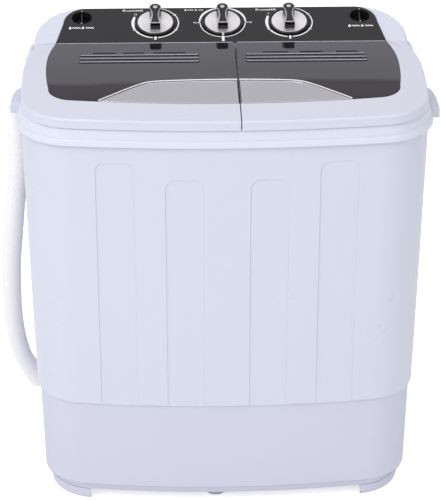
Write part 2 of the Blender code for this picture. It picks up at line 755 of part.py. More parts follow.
def build_lid(name, side):
    """White frame of one lid: half of a shallow shell, open under the smoked plate."""
    node = name + "_lid"
    rim = [(lid_outline(), LID_Z[0]), (lid_outline(), LID_Z[1] - 0.0030),
           (lid_outline(0.0030), LID_Z[1])]
    lid = place(node, loft_mesh(node, rim, True, True), look=GLOSS_WHITE)
    combine(lid, side_block(node + "_half", side, SEAM_GAP / 2), "INTERSECT")
    hollow = place(node + "_hollow",
                   loft_mesh("hollow", [(lid_outline(WALL), LID_Z[0] - 0.01),
                                        (lid_outline(WALL), LID_Z[1] - WALL)], True, True))
    combine(hollow, side_block(node + "_hollow_half", side, SEAM_GAP / 2 + WALL), "INTERSECT")
    cut(lid, hollow)
    plate_z = LID_Z[1] - PLATE - GAP
    opening = place(node + "_opening",
                    flat_solid_mesh("opening", [window_outline(0.0)], 0.02), (0, 0, plate_z))
    cut(lid, opening)
    wall_y = LID_BACK_Y - WALL - 0.0006
    for number, x in enumerate((BRACKET_X[1 + side] - side * 0.013, SEAM_X + side * 0.013)):
        ear = place("%s_ear_%d" % (node, number),
                    box_mesh("ear", (x - 0.0015, LID_AXIS_Y - 0.0032, LID_AXIS_Z - 0.0036),
                             (x + 0.0015, LID_BACK_Y - 0.0010, plate_z - 0.0001)))
        combine(lid, ear, "UNION")
    bore = (-0.2710, SEAM_X) if side < 0 else (SEAM_X, 0.2710)
    cut(lid, cutter_rod(node + "_pin_hole", PIN_RADIUS + GAP, *bore,
                        (0, LID_AXIS_Y, LID_AXIS_Z), (0, math.pi / 2, 0), segments=16))
    for number, x in enumerate((BRACKET_X[1 + side], BRACKET_X[1])):
        low, high = x - 0.0075, x + 0.0075
        cut(lid, cutter_box("%s_notch_%d" % (node, number), (low, LID_AXIS_Y - 0.006, 0.59),
                            (high, wall_y, 0.63)))
        cut(lid, cutter_box("%s_gate_%d" % (node, number), (low, wall_y - 0.001, 0.59),
                            (high, LID_BACK_Y + 0.01, plate_z - WALL)))
    smooth(lid)


def build_lid_plates(name, side):
    """Smoked plate and silver trim of one lid, flush in the frame's opening."""
    top = LID_Z[1] - PLATE
    window = place(name + "_window",
                   flat_solid_mesh("window", [window_outline(GAP)], PLATE), (0, 0, top),
                   look=SMOKED)
    combine(window, side_block(name + "_window_half", side, SEAM_GAP / 2), "INTERSECT")
    cut(window, place(name + "_trim_opening",
                      flat_solid_mesh("trim_opening", [trim_outline(0.0)], 0.02),
                      (0, 0, top - 0.01)))
    trim = place(name + "_lid_trim",
                 flat_solid_mesh("trim", [trim_outline(2 * GAP)], PLATE - 0.0008),
                 (0, 0, top), look=SILVER)
    combine(trim, side_block(name + "_trim_half", side, SEAM_GAP / 2), "INTERSECT")
    smooth(window)
    smooth(trim)


def build_hinges():
    """Posts on the deck that hold one steel pin for each lid."""
    for name, x in zip(("left", "center", "right"), BRACKET_X):
        node = "hinge_bracket_" + name
        low = (x - 0.0060, LID_AXIS_Y - 0.0034, DECK_Z + GAP)
        high = (x + 0.0060, LID_AXIS_Y - 0.0005, LID_AXIS_Z)
        bracket = place(node, box_mesh(node, low, high), look=SATIN_WHITE)
        head = place(node + "_head", rod_mesh("head", 0.0034, -0.0060, 0.0060, 20),
                     (x, LID_AXIS_Y, LID_AXIS_Z), (0, math.pi / 2, 0))
        combine(bracket, head, "UNION")
        cut(bracket, cutter_rod(node + "_bore", PIN_RADIUS + 0.0001, -0.02, 0.02,
                                (x, LID_AXIS_Y, LID_AXIS_Z), (0, math.pi / 2, 0), segments=16))
    ends = {"wash": (-0.2700, SEAM_X - 0.0010), "spin": (SEAM_X + 0.0010, 0.2700)}
    for name, (low, high) in ends.items():
        pin = place(name + "_lid_pin", rod_mesh("pin", PIN_RADIUS, low, high, 16),
                    (0, LID_AXIS_Y, LID_AXIS_Z), (0, math.pi / 2, 0), METAL)
        smooth(pin)


# ---- wash side -------------------------------------------------------------------------------
def build_wash_drive():
    axis = (PULSATOR_X, PULSATOR_Y, 0)
    bore = SHAFT_RADIUS + GAP
    floor = TUB_FLOOR_Z
    profile = [(bore, 0.2545), (0.0085, 0.2545), (0.0085, 0.2620), (0.0150, 0.2640),
               (0.0300, 0.2560), (0.0800, 0.2450), (0.0880, 0.2420), (0.0880, 0.2390),
               (bore, 0.2390)]
    pulsator = turned("pulsator", profile, axis, SATIN_WHITE, 24, True)
    for number in range(4):
        rib = place("pulsator_rib_%d" % number,
                    box_mesh("rib", (0.0140, -0.0040, 0.2410), (0.0780, 0.0040, 0.2630)),
                    axis, (0, 0, math.pi / 2 * number + math.pi / 4))
        bevel(rib, 0.0030, 1)
        combine(pulsator, rib, "UNION")
    smooth(pulsator)
    turned("pulsator_screw", [(0, 0.2610), (0.0060, 0.2605), (0.0070, 0.2550),
                              (0, 0.2550)], axis, METAL, 10)
    turned("wash_shaft", [(0, 0.2542), (SHAFT_RADIUS, 0.2542), (SHAFT_RADIUS, 0.0700),
                          (0, 0.0700)], axis, METAL, 16)
    turned("wash_shaft_seal", [(bore, floor + 0.0025), (0.0157, floor + 0.0025),
                               (0.0157, floor - WALL), (bore, floor - WALL)],
           axis, RUBBER, 16, True)
    top = floor - WALL - GAP
    turned("bearing_housing", [(bore, top), (0.0400, top), (0.0400, top - 0.0040),
                               (0.0180, top - 0.0100), (0.0150, 0.1150), (bore, 0.1150)],
           axis, METAL, 16, True)


def pulley_profile(bore, flange, groove, half_width, groove_half):
    return [(bore, half_width), (flange, half_width), (flange, groove_half),
            (groove, groove_half), (groove, -groove_half), (flange, -groove_half),
            (flange, -half_width), (bore, -half_width)]


BIG_PULLEY = (0.0500, 0.0420)       # flange and groove radius
SMALL_PULLEY = (0.0200, 0.0145)
BELT_CLEARANCE = 0.0015
BELT_THICKNESS = 0.0050


def belt_outline(extra):
    """Closed belt path round both pulleys, seen from above, at some radius over the grooves."""
    big, small = BIG_PULLEY[1] + extra, SMALL_PULLEY[1] + extra
    centres = MOTOR_Y - PULSATOR_Y
    lean = math.asin((big - small) / centres)
    points = []
    for radius, y, start, sweep in ((big, 0.0, math.pi - lean, math.pi + 2 * lean),
                                    (small, centres, lean, math.pi - 2 * lean)):
        for i in range(11):
            angle = start + sweep * i / 10
            points.append((radius * math.cos(angle), y + radius * math.sin(angle)))
    return points


def build_belt_drive():
    driven = turned("driven_pulley", pulley_profile(SHAFT_RADIUS + GAP, *BIG_PULLEY, 0.0065, 0.0040),
                    (PULSATOR_X, PULSATOR_Y, BELT_Z), METAL, 24, True)
    smooth(driven)
    motor_at = (PULSATOR_X, MOTOR_Y, 0)
    pulley = turned("motor_pulley", pulley_profile(0.0, *SMALL_PULLEY, 0.0065, 0.0040)[1:-1],
                    (PULSATOR_X, MOTOR_Y, BELT_Z), METAL, 16)
    close_ends(pulley, 0.0065)
    shaft = place("motor_pulley_shaft", rod_mesh("shaft", 0.0050, 0.0, 0.0180, 16),
                  (PULSATOR_X, MOTOR_Y, BELT_Z))
    combine(pulley, shaft, "UNION")
    smooth(pulley)
    outlines = [belt_outline(BELT_CLEARANCE + BELT_THICKNESS), belt_outline(BELT_CLEARANCE)]
    place("drive_belt", flat_solid_mesh("drive_belt", outlines, 0.0060),
          (PULSATOR_X, PULSATOR_Y, BELT_Z - 0.0030), look=RUBBER)
    profile = [(0, 0.1900), (0.0300, 0.1900), (0.0450, 0.1820), (0.0450, 0.1120),
               (0.0300, 0.1040), (0, 0.1040)]
    smooth(turned("wash_motor", profile, motor_at, METAL, 20))


def close_ends(obj, half_width):
    """Add the axis points to an open pulley profile so that the turned body closes."""
    bm = bmesh.new()
    bm.from_mesh(obj.data)
    bm.verts.ensure_lookup_table()
    top = bm.verts.new((0, 0, half_width))
    low = bm.verts.new((0, 0, -half_width))
    bm.verts.ensure_lookup_table()
    bm.edges.new((top, bm.verts[0]))
    bm.edges.new((bm.verts[len(bm.verts) - 3], low))
    bm.to_mesh(obj.data)
    bm.free()


def build_lint_filter():
    """Filter cassette that hangs on the wash tub's back wall."""
    low, high = (-0.040, -0.012, 0.0), (0.040, 0.0, 0.130)
    lint = place("lint_filter", box_mesh("lint_filter", low, high),
                 (PULSATOR_X, WASH_Y[1] - 0.0080, 0.400), look=SATIN_WHITE)
    bevel(lint, 0.0020, 2)


# ---- spin side -------------------------------------------------------------------------------
def build_spin_side():
    axis = (*SPIN_CENTRE, 0)
    bore = SHAFT_RADIUS + GAP
    low, high = BASKET_Z
    wall = 0.0018
    profile = [(BASKET_RADIUS - 0.0060, high), (BASKET_RADIUS, high), (BASKET_RADIUS, low + 0.012),
               (BASKET_RADIUS - 0.012, low), (bore, low), (bore, low + 0.0240),
               (0.0160, low + 0.0240), (0.0200, low + wall), (BASKET_RADIUS - 0.0135, low + wall),
               (BASKET_RADIUS - wall, low + 0.013), (BASKET_RADIUS - wall, high - 0.0040),
               (BASKET_RADIUS - 0.0060, high - 0.0030)]
    smooth(turned("spin_basket", profile, axis, SATIN_WHITE, 28, True))
    cover_z, cover_radius = 0.4700, 0.0900
    profile = [(0.0, cover_z + 0.0120), (0.0180, cover_z + 0.0120), (0.0200, cover_z + 0.0030),
               (cover_radius - 0.0040, cover_z + 0.0030), (cover_radius - 0.0020, cover_z + 0.0080),
               (cover_radius, cover_z + 0.0080), (cover_radius, cover_z), (0, cover_z)]
    smooth(turned("spin_inner_cover", profile, axis, SATIN_WHITE, 24))
    turned("spin_shaft", [(0, low + 0.0230), (SHAFT_RADIUS, low + 0.0230),
                          (SHAFT_RADIUS, 0.1340), (0, 0.1340)], axis, METAL, 16)
    drum = [(bore, 0.1600), (0.0350, 0.1600), (0.0350, 0.1380), (bore, 0.1380)]
    smooth(turned("brake_drum", drum, axis, METAL, 24, True))
    floor = FOOT_HEIGHT + WALL + GAP
    motor = turned("spin_motor", [(0, 0.1300), (0.0380, 0.1300), (0.0550, 0.1220),
                                  (0.0550, 0.0400), (0.0450, floor), (0, floor)],
                   axis, METAL, 20)
    lug = place("brake_lug", box_mesh("brake_lug", (0.0290, -0.0560, 0.1180),
                                      (0.0520, -0.0200, 0.1330)), axis)
    peg = place("brake_peg", rod_mesh("peg", 0.0030, 0.1300, 0.1540, 14),
                (SPIN_CENTRE[0] + BRAKE_PIVOT[0], SPIN_CENTRE[1] + BRAKE_PIVOT[1], 0))
    combine(motor, lug, "UNION")
    combine(motor, peg, "UNION")
    smooth(motor)
    build_brake_lever()


BRAKE_PIVOT = (0.0450, -0.0500)     # from the spin axis


def build_brake_lever():
    outline = rounded_box_outline((-0.0060, -0.0080), (0.0060, 0.0700), 0.0040)
    hole = circle((0, 0), 0.0033, 16)
    lever = place("brake_lever", flat_solid_mesh("brake_lever", [outline, hole], 0.0070),
                  (SPIN_CENTRE[0] + BRAKE_PIVOT[0], SPIN_CENTRE[1] + BRAKE_PIVOT[1], 0.1440),
                  look=METAL)
    smooth(lever)


# ---- drain -----------------------------------------------------------------------------------
VALVE_AT = (0.0030, 0.1300)


def build_drain_valve():
    axis = (*VALVE_AT, 0)
    body = [(0, 0.1450), (0.0140, 0.1500), (0.0150, 0.2200), (0.0220, 0.2200),
            (0.0220, 0.1500), (0.0100, 0.1400), (0, 0.1400)]
    smooth(turned("drain_valve", body, axis, SATIN_WHITE, 16))
    plunger = [(0, 0.5700), (0.0016, 0.5700), (0.0016, 0.2000), (0.0060, 0.1900),
               (0.0130, 0.1800), (0.0130, 0.1560), (0.0090, 0.1520), (0, 0.1520)]
    smooth(turned("valve_plunger", plunger, axis, RUBBER, 12))


def hose_nodes():
    """Parked hose, from the spigot up to its cuff beside the left grip, relative to its pivot."""
    path = [HOSE_PIVOT, (-0.2990, 0.0920, 0.0790), (-0.3122, 0.0850, 0.1130),
            (-0.3200, 0.0720, 0.1800), (-0.3178, 0.0520, 0.2730), (-0.3105, 0.0350, 0.3450),
            (-0.3040, 0.0190, 0.4030), (-0.2985, 0.0060, 0.4500), (-0.2960, 0.0005, 0.4840),
            HOSE_TOP]
    return [Vector(point) - Vector(HOSE_PIVOT) for point in path]


CUFF_COLLAR = (0.0150, 0.0220)      # radius and height
CUFF_NECK = (0.0122, 0.0580)


def build_drain_hose():
    wire("drain_hose", bezier_points(hose_nodes(), 3), HOSE_RADIUS, SATIN_WHITE, 2, HOSE_PIVOT)
    collar, neck = CUFF_COLLAR, CUFF_NECK
    cuff = [(0, neck[1]), (neck[0], neck[1]), (neck[0], collar[1]), (collar[0], collar[1] - 0.0020),
            (collar[0], 0.0), (0, 0.0)]
    low = HOSE_TOP[2] + 4 * GAP
    smooth(turned("hose_cuff", cuff, (HOSE_TOP[0], HOSE_TOP[1], low), SATIN_WHITE, 18))
    spigot = [(0.0090, 0.0), (HOSE_RADIUS, 0.0), (HOSE_RADIUS, -0.0300), (0.0090, -0.0300)]
    outlet = turned("hose_outlet", spigot, (HOSE_PIVOT[0] + HOSE_RADIUS + 0.0009, *HOSE_PIVOT[1:]),
                    SATIN_WHITE, 16, True, rotation=(0, -math.pi / 2, 0))
    smooth(outlet)


def build_power_cord():
    """Mains lead, wound in a flat hank against the plinth's back wall."""
    loop, back = 0.0500, 0.1690
    middle = (0.1100, 0.1050)
    points = [(CORD_HOLE[0], 0.1500, CORD_HOLE[1]), (CORD_HOLE[0], back, CORD_HOLE[1]),
              (CORD_HOLE[0] - 0.0100, back, CORD_HOLE[1] - 0.0040)]
    for i in range(25):
        angle = math.radians(-30) + math.tau * 2 * i / 24
        points.append((middle[0] + loop * math.cos(angle), back + 0.0080 * i / 24,
                       middle[1] + loop * math.sin(angle)))
    points += [(0.1300, back + 0.0080, 0.0600), (0.0600, back + 0.0080, 0.0500)]
    wire("power_cord", points, CORD_RADIUS, RUBBER, 1)
    plug_low, plug_high = (0.0200, back - 0.0010, 0.0380), (0.0560, back + 0.0130, 0.0620)
    plug = place("mains_plug", box_mesh("mains_plug", plug_low, plug_high), look=RUBBER)
    bevel(plug, 0.0040, 2)


# ---- assembly --------------------------------------------------------------------------------
build_base()
build_feet()
build_cabinet()
build_rear_cover()
build_twin_tub()
build_handles()
build_control_housing()
build_fascia()
build_knobs()
build_inlets()
for lid_name, lid_side in (("wash", -1), ("spin", 1)):
    build_lid(lid_name, lid_side)
    build_lid_plates(lid_name, lid_side)
build_hinges()
build_wash_drive()
build_belt_drive()
build_lint_filter()
build_spin_side()
build_drain_valve()
build_drain_hose()
build_power_cord()
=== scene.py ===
"""Looks of a compact twin tub washer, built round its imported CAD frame."""
import json
import math

import bmesh
import bpy
from mathutils import Matrix, Vector


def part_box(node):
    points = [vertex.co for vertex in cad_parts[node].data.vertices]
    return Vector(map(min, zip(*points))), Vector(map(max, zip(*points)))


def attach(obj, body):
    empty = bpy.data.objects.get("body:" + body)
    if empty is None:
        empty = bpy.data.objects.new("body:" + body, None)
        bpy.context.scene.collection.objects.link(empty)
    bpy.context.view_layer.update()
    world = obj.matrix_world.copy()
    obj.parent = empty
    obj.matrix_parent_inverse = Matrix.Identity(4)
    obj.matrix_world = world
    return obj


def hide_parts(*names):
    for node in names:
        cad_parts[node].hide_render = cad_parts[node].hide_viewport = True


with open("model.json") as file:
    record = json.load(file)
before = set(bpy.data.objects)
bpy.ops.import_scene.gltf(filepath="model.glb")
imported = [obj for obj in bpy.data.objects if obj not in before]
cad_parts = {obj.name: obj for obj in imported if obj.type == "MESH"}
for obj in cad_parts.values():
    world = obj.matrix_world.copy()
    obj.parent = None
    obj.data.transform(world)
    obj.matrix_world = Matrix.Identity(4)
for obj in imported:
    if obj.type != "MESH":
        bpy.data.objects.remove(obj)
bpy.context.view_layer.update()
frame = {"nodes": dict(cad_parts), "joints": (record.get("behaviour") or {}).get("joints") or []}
scene = bpy.context.scene

# ---- measures taken from the frame -------------------------------------------------------------
MM = 0.001
rim_low, rim_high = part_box("twin_tub")
RIM_HALF = (rim_high.x - rim_low.x) / 2
BOW = 0.0246                       # how far the front bows out past its corner line
DEPTH_HALF = (rim_high.y - rim_low.y - BOW) / 2
CENTRE = Vector(((rim_high.x + rim_low.x) / 2, rim_high.y - DEPTH_HALF, 0.0))
RIM_TOP = rim_high.z
SKIRT_Z = RIM_TOP - 24.6 * MM
FLANGE_Z = RIM_TOP - 14.6 * MM
DECK_Z = RIM_TOP - 4.8 * MM


def local(node):
    low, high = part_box(node)
    return low - CENTRE, high - CENTRE


base_low, base_high = local("base")
FOOT_H = base_low.z
cabinet_low, cabinet_high = local("cabinet")
lid_low, lid_high = local("wash_lid")
LID_Z = (lid_low.z, lid_high.z)
SEAM_X = (lid_high.x + local("spin_lid")[0].x) / 2
SEAM_GAP = 0.6 * MM
LID_BACK = lid_high.y
HINGE_Y, HINGE_Z = 96.1 * MM, 615.3 * MM
TILT = math.radians(18.5)
BODY = Matrix.Translation(CENTRE)
PANEL = BODY @ Matrix.Translation((0, HINGE_Y, HINGE_Z)) @ Matrix.Rotation(TILT, 4, "X")
KNOB_UP = 46.6 * MM
KNOB_X = [sum(local(n + "_knob")[i].x for i in (0, 1)) / 2 for n in ("wash", "selector", "spin")]
INLET_X = [sum(local(n + "_inlet")[i].x for i in (0, 1)) / 2 for n in ("wash", "spin")]
INLET_UP = 60.0 * MM


# ---- procedural materials ----------------------------------------------------------------------
class Look:
    """A material under construction: a principled shader and small helpers to feed it."""

    def __init__(self, name):
        self.material = bpy.data.materials.new(name)
        self.material.use_nodes = True
        self.tree = self.material.node_tree
        self.shader = self.tree.nodes["Principled BSDF"]
        self.coords = self.node("ShaderNodeTexCoord")

    def node(self, kind, **settings):
        made = self.tree.nodes.new(kind)
        for key, value in settings.items():
            if hasattr(made, key):
                setattr(made, key, value)
            else:
                made.inputs[key.replace("_", " ")].default_value = value
        return made

    def link(self, source, target):
        self.tree.links.new(source, target)

    def noise(self, scale, detail=2.0):
        made = self.node("ShaderNodeTexNoise", Scale=scale, Detail=detail)
        self.link(self.coords.outputs["Object"], made.inputs["Vector"])
        return made.outputs["Fac"]

    def ramp(self, source, low, high):
        """Map a 0..1 value onto a range, as a value or as a colour."""
        if isinstance(low, tuple):
            mix = self.node("ShaderNodeMix", data_type="RGBA")
            self.link(source, mix.inputs["Factor"])
            mix.inputs[6].default_value = (*low, 1)
            mix.inputs[7].default_value = (*high, 1)
            return mix.outputs[2]
        made = self.node("ShaderNodeMapRange")
        made.inputs["From Min"].default_value = 0.3
        made.inputs["From Max"].default_value = 0.7
        made.inputs["To Min"].default_value = low
        made.inputs["To Max"].default_value = high
        self.link(source, made.inputs["Value"])
        return made.outputs["Result"]

    def bump(self, source, strength, distance):
        made = self.node("ShaderNodeBump")
        made.inputs["Strength"].default_value = strength
        made.inputs["Distance"].default_value = distance
        self.link(source, made.inputs["Height"])
        self.link(made.outputs["Normal"], self.shader.inputs["Normal"])


MOTTLE = 6                         # patches of slightly different colour, per metre
PLASTIC_IOR = 1.5


def plastic(name, low, high, rough, grain=260, bump=0.06, metal=0.0, distance=0.0004, coat=0.0):
    """Moulded plastic or paint: faint colour mottle, uneven gloss and a fine skin texture."""
    look = Look(name)
    look.link(look.ramp(look.noise(MOTTLE), low, high), look.shader.inputs["Base Color"])
    look.link(look.ramp(look.noise(grain / 3, 3), rough[0], rough[1]),
              look.shader.inputs["Roughness"])
    look.shader.inputs["IOR"].default_value = PLASTIC_IOR
    look.shader.inputs["Metallic"].default_value = metal
    look.shader.inputs["Coat Weight"].default_value = coat
    look.bump(look.noise(grain, 3), bump, distance)
    return look


WHITE = plastic("gloss_white", (0.606, 0.624, 0.720), (0.620, 0.638, 0.734), (0.27, 0.32), 40,
                0.008, distance=0.0001).material
# Painted light: a lighter copy of the gloss white for the rim moulding and deck, offsetting the shade
# the lid casts on the rim.
RIM_PAINTED_LIGHT = plastic("gloss_white_rim_painted_light", (0.660, 0.680, 0.772), (0.674, 0.694, 0.786), (0.27, 0.32),
                   40, 0.008, distance=0.0001).material
SATIN = plastic("satin_white", (0.575, 0.586, 0.685), (0.592, 0.603, 0.700), (0.40, 0.48), 60,
                0.03, distance=0.0002).material
HOSE_LOOK = plastic("hose_plastic", (0.84, 0.83, 0.86), (0.88, 0.87, 0.89), (0.4, 0.52), 900,
                    0.06, distance=0.0001).material
TUB_LOOK = plastic("tub_white", (0.66, 0.69, 0.75), (0.70, 0.725, 0.78), (0.22, 0.32), 200,
                   0.04).material
BLACK = plastic("gloss_black", (0.004, 0.004, 0.005), (0.008, 0.008, 0.009), (0.05, 0.09), 90,
                0.015).material
DARK = plastic("satin_black", (0.010, 0.010, 0.011), (0.016, 0.016, 0.017), (0.28, 0.4), 600,
               0.08).material
CHROME = plastic("chrome", (0.72, 0.72, 0.74), (0.80, 0.80, 0.82), (0.06, 0.13), 150, 0.02,
                 metal=1.0).material
RUBBER = plastic("rubber", (0.016, 0.016, 0.017), (0.030, 0.030, 0.031), (0.6, 0.75), 900,
                 0.2).material
STEEL = plastic("steel", (0.42, 0.42, 0.43), (0.56, 0.56, 0.57), (0.22, 0.38), 500, 0.08,
                metal=1.0).material
CAST = plastic("cast_metal", (0.30, 0.31, 0.32), (0.42, 0.43, 0.44), (0.45, 0.6), 350, 0.35,
               metal=0.8).material
PRINT = plastic("white_print", (0.80, 0.80, 0.80), (0.88, 0.88, 0.88), (0.45, 0.6), 900,
                0.05).material
PAD = plastic("foot_grey", (0.42, 0.43, 0.48), (0.47, 0.48, 0.53), (0.45, 0.55), 500, 0.08).material


SMOKE_FRONT, SMOKE_SPAN = -0.14, 0.26             # stretch of the plate that the painted reflection varies over
PAINTED_REFLECTION_STOPS = ((-0.050, 0.10), (-0.036, 0.38), (0.02, 0.40), (0.08, 0.52))     # y and painted reflection strength


def smoked_look():
    """Smoked clear plate with a painted reflection: a stronger, bluish gloss behind and a brown,
    duller tint along its front.
    """
    look = plastic("smoked_plate", (0.012, 0.011, 0.015), (0.020, 0.018, 0.024), (0.03, 0.055),
                   40, 0.01)
    axes = look.node("ShaderNodeSeparateXYZ")
    look.link(look.coords.outputs["Object"], axes.inputs[0])
    edge = look.node("ShaderNodeMath", operation="MULTIPLY_ADD")
    look.link(look.noise(7.0, 1.0), edge.inputs[0])
    edge.inputs[1].default_value = 0.034
    look.link(axes.outputs["Y"], edge.inputs[2])
    # Painted reflection: the specular level is ramped along y.
    ramp = look.node("ShaderNodeValToRGB")
    place = look.node("ShaderNodeMapRange")
    place.inputs["From Min"].default_value = SMOKE_FRONT
    place.inputs["From Max"].default_value = SMOKE_FRONT + SMOKE_SPAN
    look.link(edge.outputs[0], place.inputs["Value"])
    look.link(place.outputs["Result"], ramp.inputs["Fac"])
    elements = ramp.color_ramp.elements
    elements.remove(elements[0])
    for number, (y, level) in enumerate(PAINTED_REFLECTION_STOPS):
        position = (y - SMOKE_FRONT) / SMOKE_SPAN
        stop = elements[0] if number == 0 else elements.new(position)
        stop.position = position
        stop.color = (level, level, level, 1)
    look.link(ramp.outputs["Color"], look.shader.inputs["Specular IOR Level"])
    # Painted reflection tint: brown along the front, bluish behind.
    tint = look.node("ShaderNodeMapRange")
    tint.inputs["From Min"].default_value = -0.052
    tint.inputs["From Max"].default_value = -0.036
    look.link(edge.outputs[0], tint.inputs["Value"])
    look.link(look.ramp(tint.outputs["Result"], (1.0, 0.70, 0.74), (0.90, 0.89, 1.0)),
              look.shader.inputs["Specular Tint"])
    return look.material


def silver_look():
    """Silver lacquer under a clear coat, with fine flakes."""
    look = plastic("silver_lacquer", (0.47, 0.465, 0.50), (0.505, 0.50, 0.535), (0.34, 0.42),
                   2400, 0.10, metal=0.55, coat=0.25, distance=0.0001)
    return look.material


SMOKED = smoked_look()
# Painted highlight: a lighter grey for thin tubes laid on the louvre ribs and the plate's back edge,
# standing for bright lines.
CREST_HIGHLIGHT = plastic("rib_crest_painted_highlight", (0.52, 0.51, 0.56), (0.58, 0.57, 0.62), (0.14, 0.22), 300, 0.03).material
SILVER = silver_look()


# ---- mesh helpers ------------------------------------------------------------------------------
class Shape:
    """Closed shells gathered into one mesh, each with its own material number."""

    def __init__(self):
        self.verts, self.faces, self.numbers = [], [], []

    def add(self, points, faces, look=0, at=None):
        start = len(self.verts)
        for point in points:
            point = Vector(point)
            self.verts.append(at @ point if at else point)
        for face in faces:
            self.faces.append([start + i for i in face])
            self.numbers.append(look)
        return self

    def loft(self, rings, look=0, at=None, loop=False):
        """Skin rings of equal length; open stacks are capped at both ends."""
        count = len(rings[0])
        points = [point for ring in rings for point in ring]
        faces = []
        stacks = len(rings) if loop else len(rings) - 1
        for k in range(stacks):
            a, b = k * count, ((k + 1) % len(rings)) * count
            for i in range(count):
                j = (i + 1) % count
                faces.append((a + i, a + j, b + j, b + i))
        if not loop:
            faces.append(tuple(reversed(range(count))))
            faces.append(tuple(range((len(rings) - 1) * count, len(rings) * count)))
        return self.add(points, faces, look, at)

    def lathe(self, profile, steps=64, look=0, at=None, loop=False):
        """Turn (radius, z) points; an open profile starts and ends on the axis."""
        points, faces = [], []
        rows = []
        for radius, z in profile:
            if radius < 1e-6:
                rows.append([len(points)])
                points.append((0, 0, z))
            else:
                rows.append(list(range(len(points), len(points) + steps)))
                points += [(radius * math.cos(math.tau * i / steps),
                            radius * math.sin(math.tau * i / steps), z) for i in range(steps)]
        pairs = list(zip(rows, rows[1:])) + ([(rows[-1], rows[0])] if loop else [])
        for a, b in pairs:
            for i in range(steps):
                j = (i + 1) % steps
                face = [a[i % len(a)], a[j % len(a)], b[j % len(b)], b[i % len(b)]]
                face = list(dict.fromkeys(face))
                if len(face) > 2:
                    faces.append(face)
        return self.add(points, faces, look, at)

    def box(self, low, high, soft=0.6 * MM, look=0, at=None):
        """Block with rounded upright and top and bottom edges."""
        return self.slab(rounded(low[:2], high[:2], max(soft, 0.3 * MM) * 1.5, 4), low[2], high[2],
                         soft, look, at)

    def slab(self, outline, z_low, z_high, soft, look=0, at=None):
        """Solid of one outline with rounded top and bottom edges."""
        steps = 3
        rings = []
        for i in range(steps):
            a = math.pi / 2 * i / steps
            rings.append((soft * (1 - math.sin(a)), z_low + soft * (1 - math.cos(a))))
        rings.append((0.0, z_low + soft))
        for i in range(steps + 1):
            a = math.pi / 2 * i / steps
            rings.append((soft * (1 - math.cos(a)), z_high - soft * (1 - math.sin(a))))
        return self.loft([[(x, y, z) for x, y in inset(outline, d)] for d, z in rings],
                         look, at)

    def tube(self, path, radius, look=0, sides=20):
        """Round bar along a path; radius is a number or a rule of the step number."""
        path = [Vector(p) for p in path]
        rings = []
        side = None
        last = len(path) - 1
        for i, point in enumerate(path):
            along = path[min(i + 1, last)] - path[max(i - 1, 0)]
            along.normalize()
            if side is None:
                side = along.orthogonal().normalized()
            side = (side - along * side.dot(along)).normalized()
            up = along.cross(side)
            size = radius(i) if callable(radius) else radius
            rings.append([point + (side * math.cos(math.tau * k / sides)
                                   + up * math.sin(math.tau * k / sides)) * size
                          for k in range(sides)])
        return self.loft(rings, look)

    def mesh(self, name, looks, smooth=35):
        mesh = bpy.data.meshes.new(name)
        mesh.from_pydata([tuple(v) for v in self.verts], [], self.faces)
        for look in looks:
            mesh.materials.append(look)
        mesh.polygons.foreach_set("material_index", self.numbers)
        bm = bmesh.new()
        bm.from_mesh(mesh)
        bmesh.ops.recalc_face_normals(bm, faces=bm.faces)
        bm.to_mesh(mesh)
        bm.free()
        mesh.shade_smooth()
        mesh.set_sharp_from_angle(angle=math.radians(smooth))
        return mesh

    def piece(self, name, looks, body, nodes=(), slot=None, at=BODY, smooth=35):
        """Make the object, ride it on its body and let it stand for its CAD nodes."""
        looks = looks if isinstance(looks, (list, tuple)) else [looks]
        obj = bpy.data.objects.new(name, self.mesh(name, looks, smooth))
        obj.matrix_world = at
        scene.collection.objects.link(obj)
        even = obj.modifiers.new("even_shading", "WEIGHTED_NORMAL")
        even.keep_sharp = True
        if body:
            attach(obj, body)
        if nodes:
            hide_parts(*nodes)
        return obj


def inset(outline, distance):
    """Move a counter-clockwise outline inwards, keeping its number of points."""
    if abs(distance) < 1e-9:
        return list(outline)
    moved = []
    for i, here in enumerate(outline):
        before, after = outline[i - 1], outline[(i + 1) % len(outline)]
        e1 = (here[0] - before[0], here[1] - before[1])
        e2 = (after[0] - here[0], after[1] - here[1])
        l1, l2 = math.hypot(*e1) or 1e-9, math.hypot(*e2) or 1e-9
        n1, n2 = (-e1[1] / l1, e1[0] / l1), (-e2[1] / l2, e2[0] / l2)
        nx, ny = n1[0] + n2[0], n1[1] + n2[1]
        scale = max(nx * nx + ny * ny, 0.6)
        moved.append((here[0] + 2 * nx / scale * distance, here[1] + 2 * ny / scale * distance))
    return moved


def signed_area(points):
    return sum(points[i - 1][0] * p[1] - p[0] * points[i - 1][1] for i, p in enumerate(points)) / 2


def inset_edges(outline, distances):
    """Move each edge of a counter-clockwise outline inwards by its own distance."""
    moved = []
    for i, here in enumerate(outline):
        before, after = outline[i - 1], outline[(i + 1) % len(outline)]
        e1 = Vector((here[0] - before[0], here[1] - before[1])).normalized()
        e2 = Vector((after[0] - here[0], after[1] - here[1])).normalized()
        n1, n2 = Vector((-e1.y, e1.x)), Vector((-e2.y, e2.x))
        a, b = distances[i - 1], distances[i]
        turn = n1.x * n2.y - n1.y * n2.x
        if abs(turn) < 0.3:
            step = (n1 + n2).normalized() * (a + b) / 2
        else:
            step = Vector((a * n2.y - b * n1.y, b * n1.x - a * n2.x)) / turn
        moved.append((here[0] + step.x, here[1] + step.y))
    return moved


def circle(centre, radius, steps=48):
    return [(centre[0] + radius * math.cos(math.tau * i / steps),
             centre[1] + radius * math.sin(math.tau * i / steps)) for i in range(steps)]


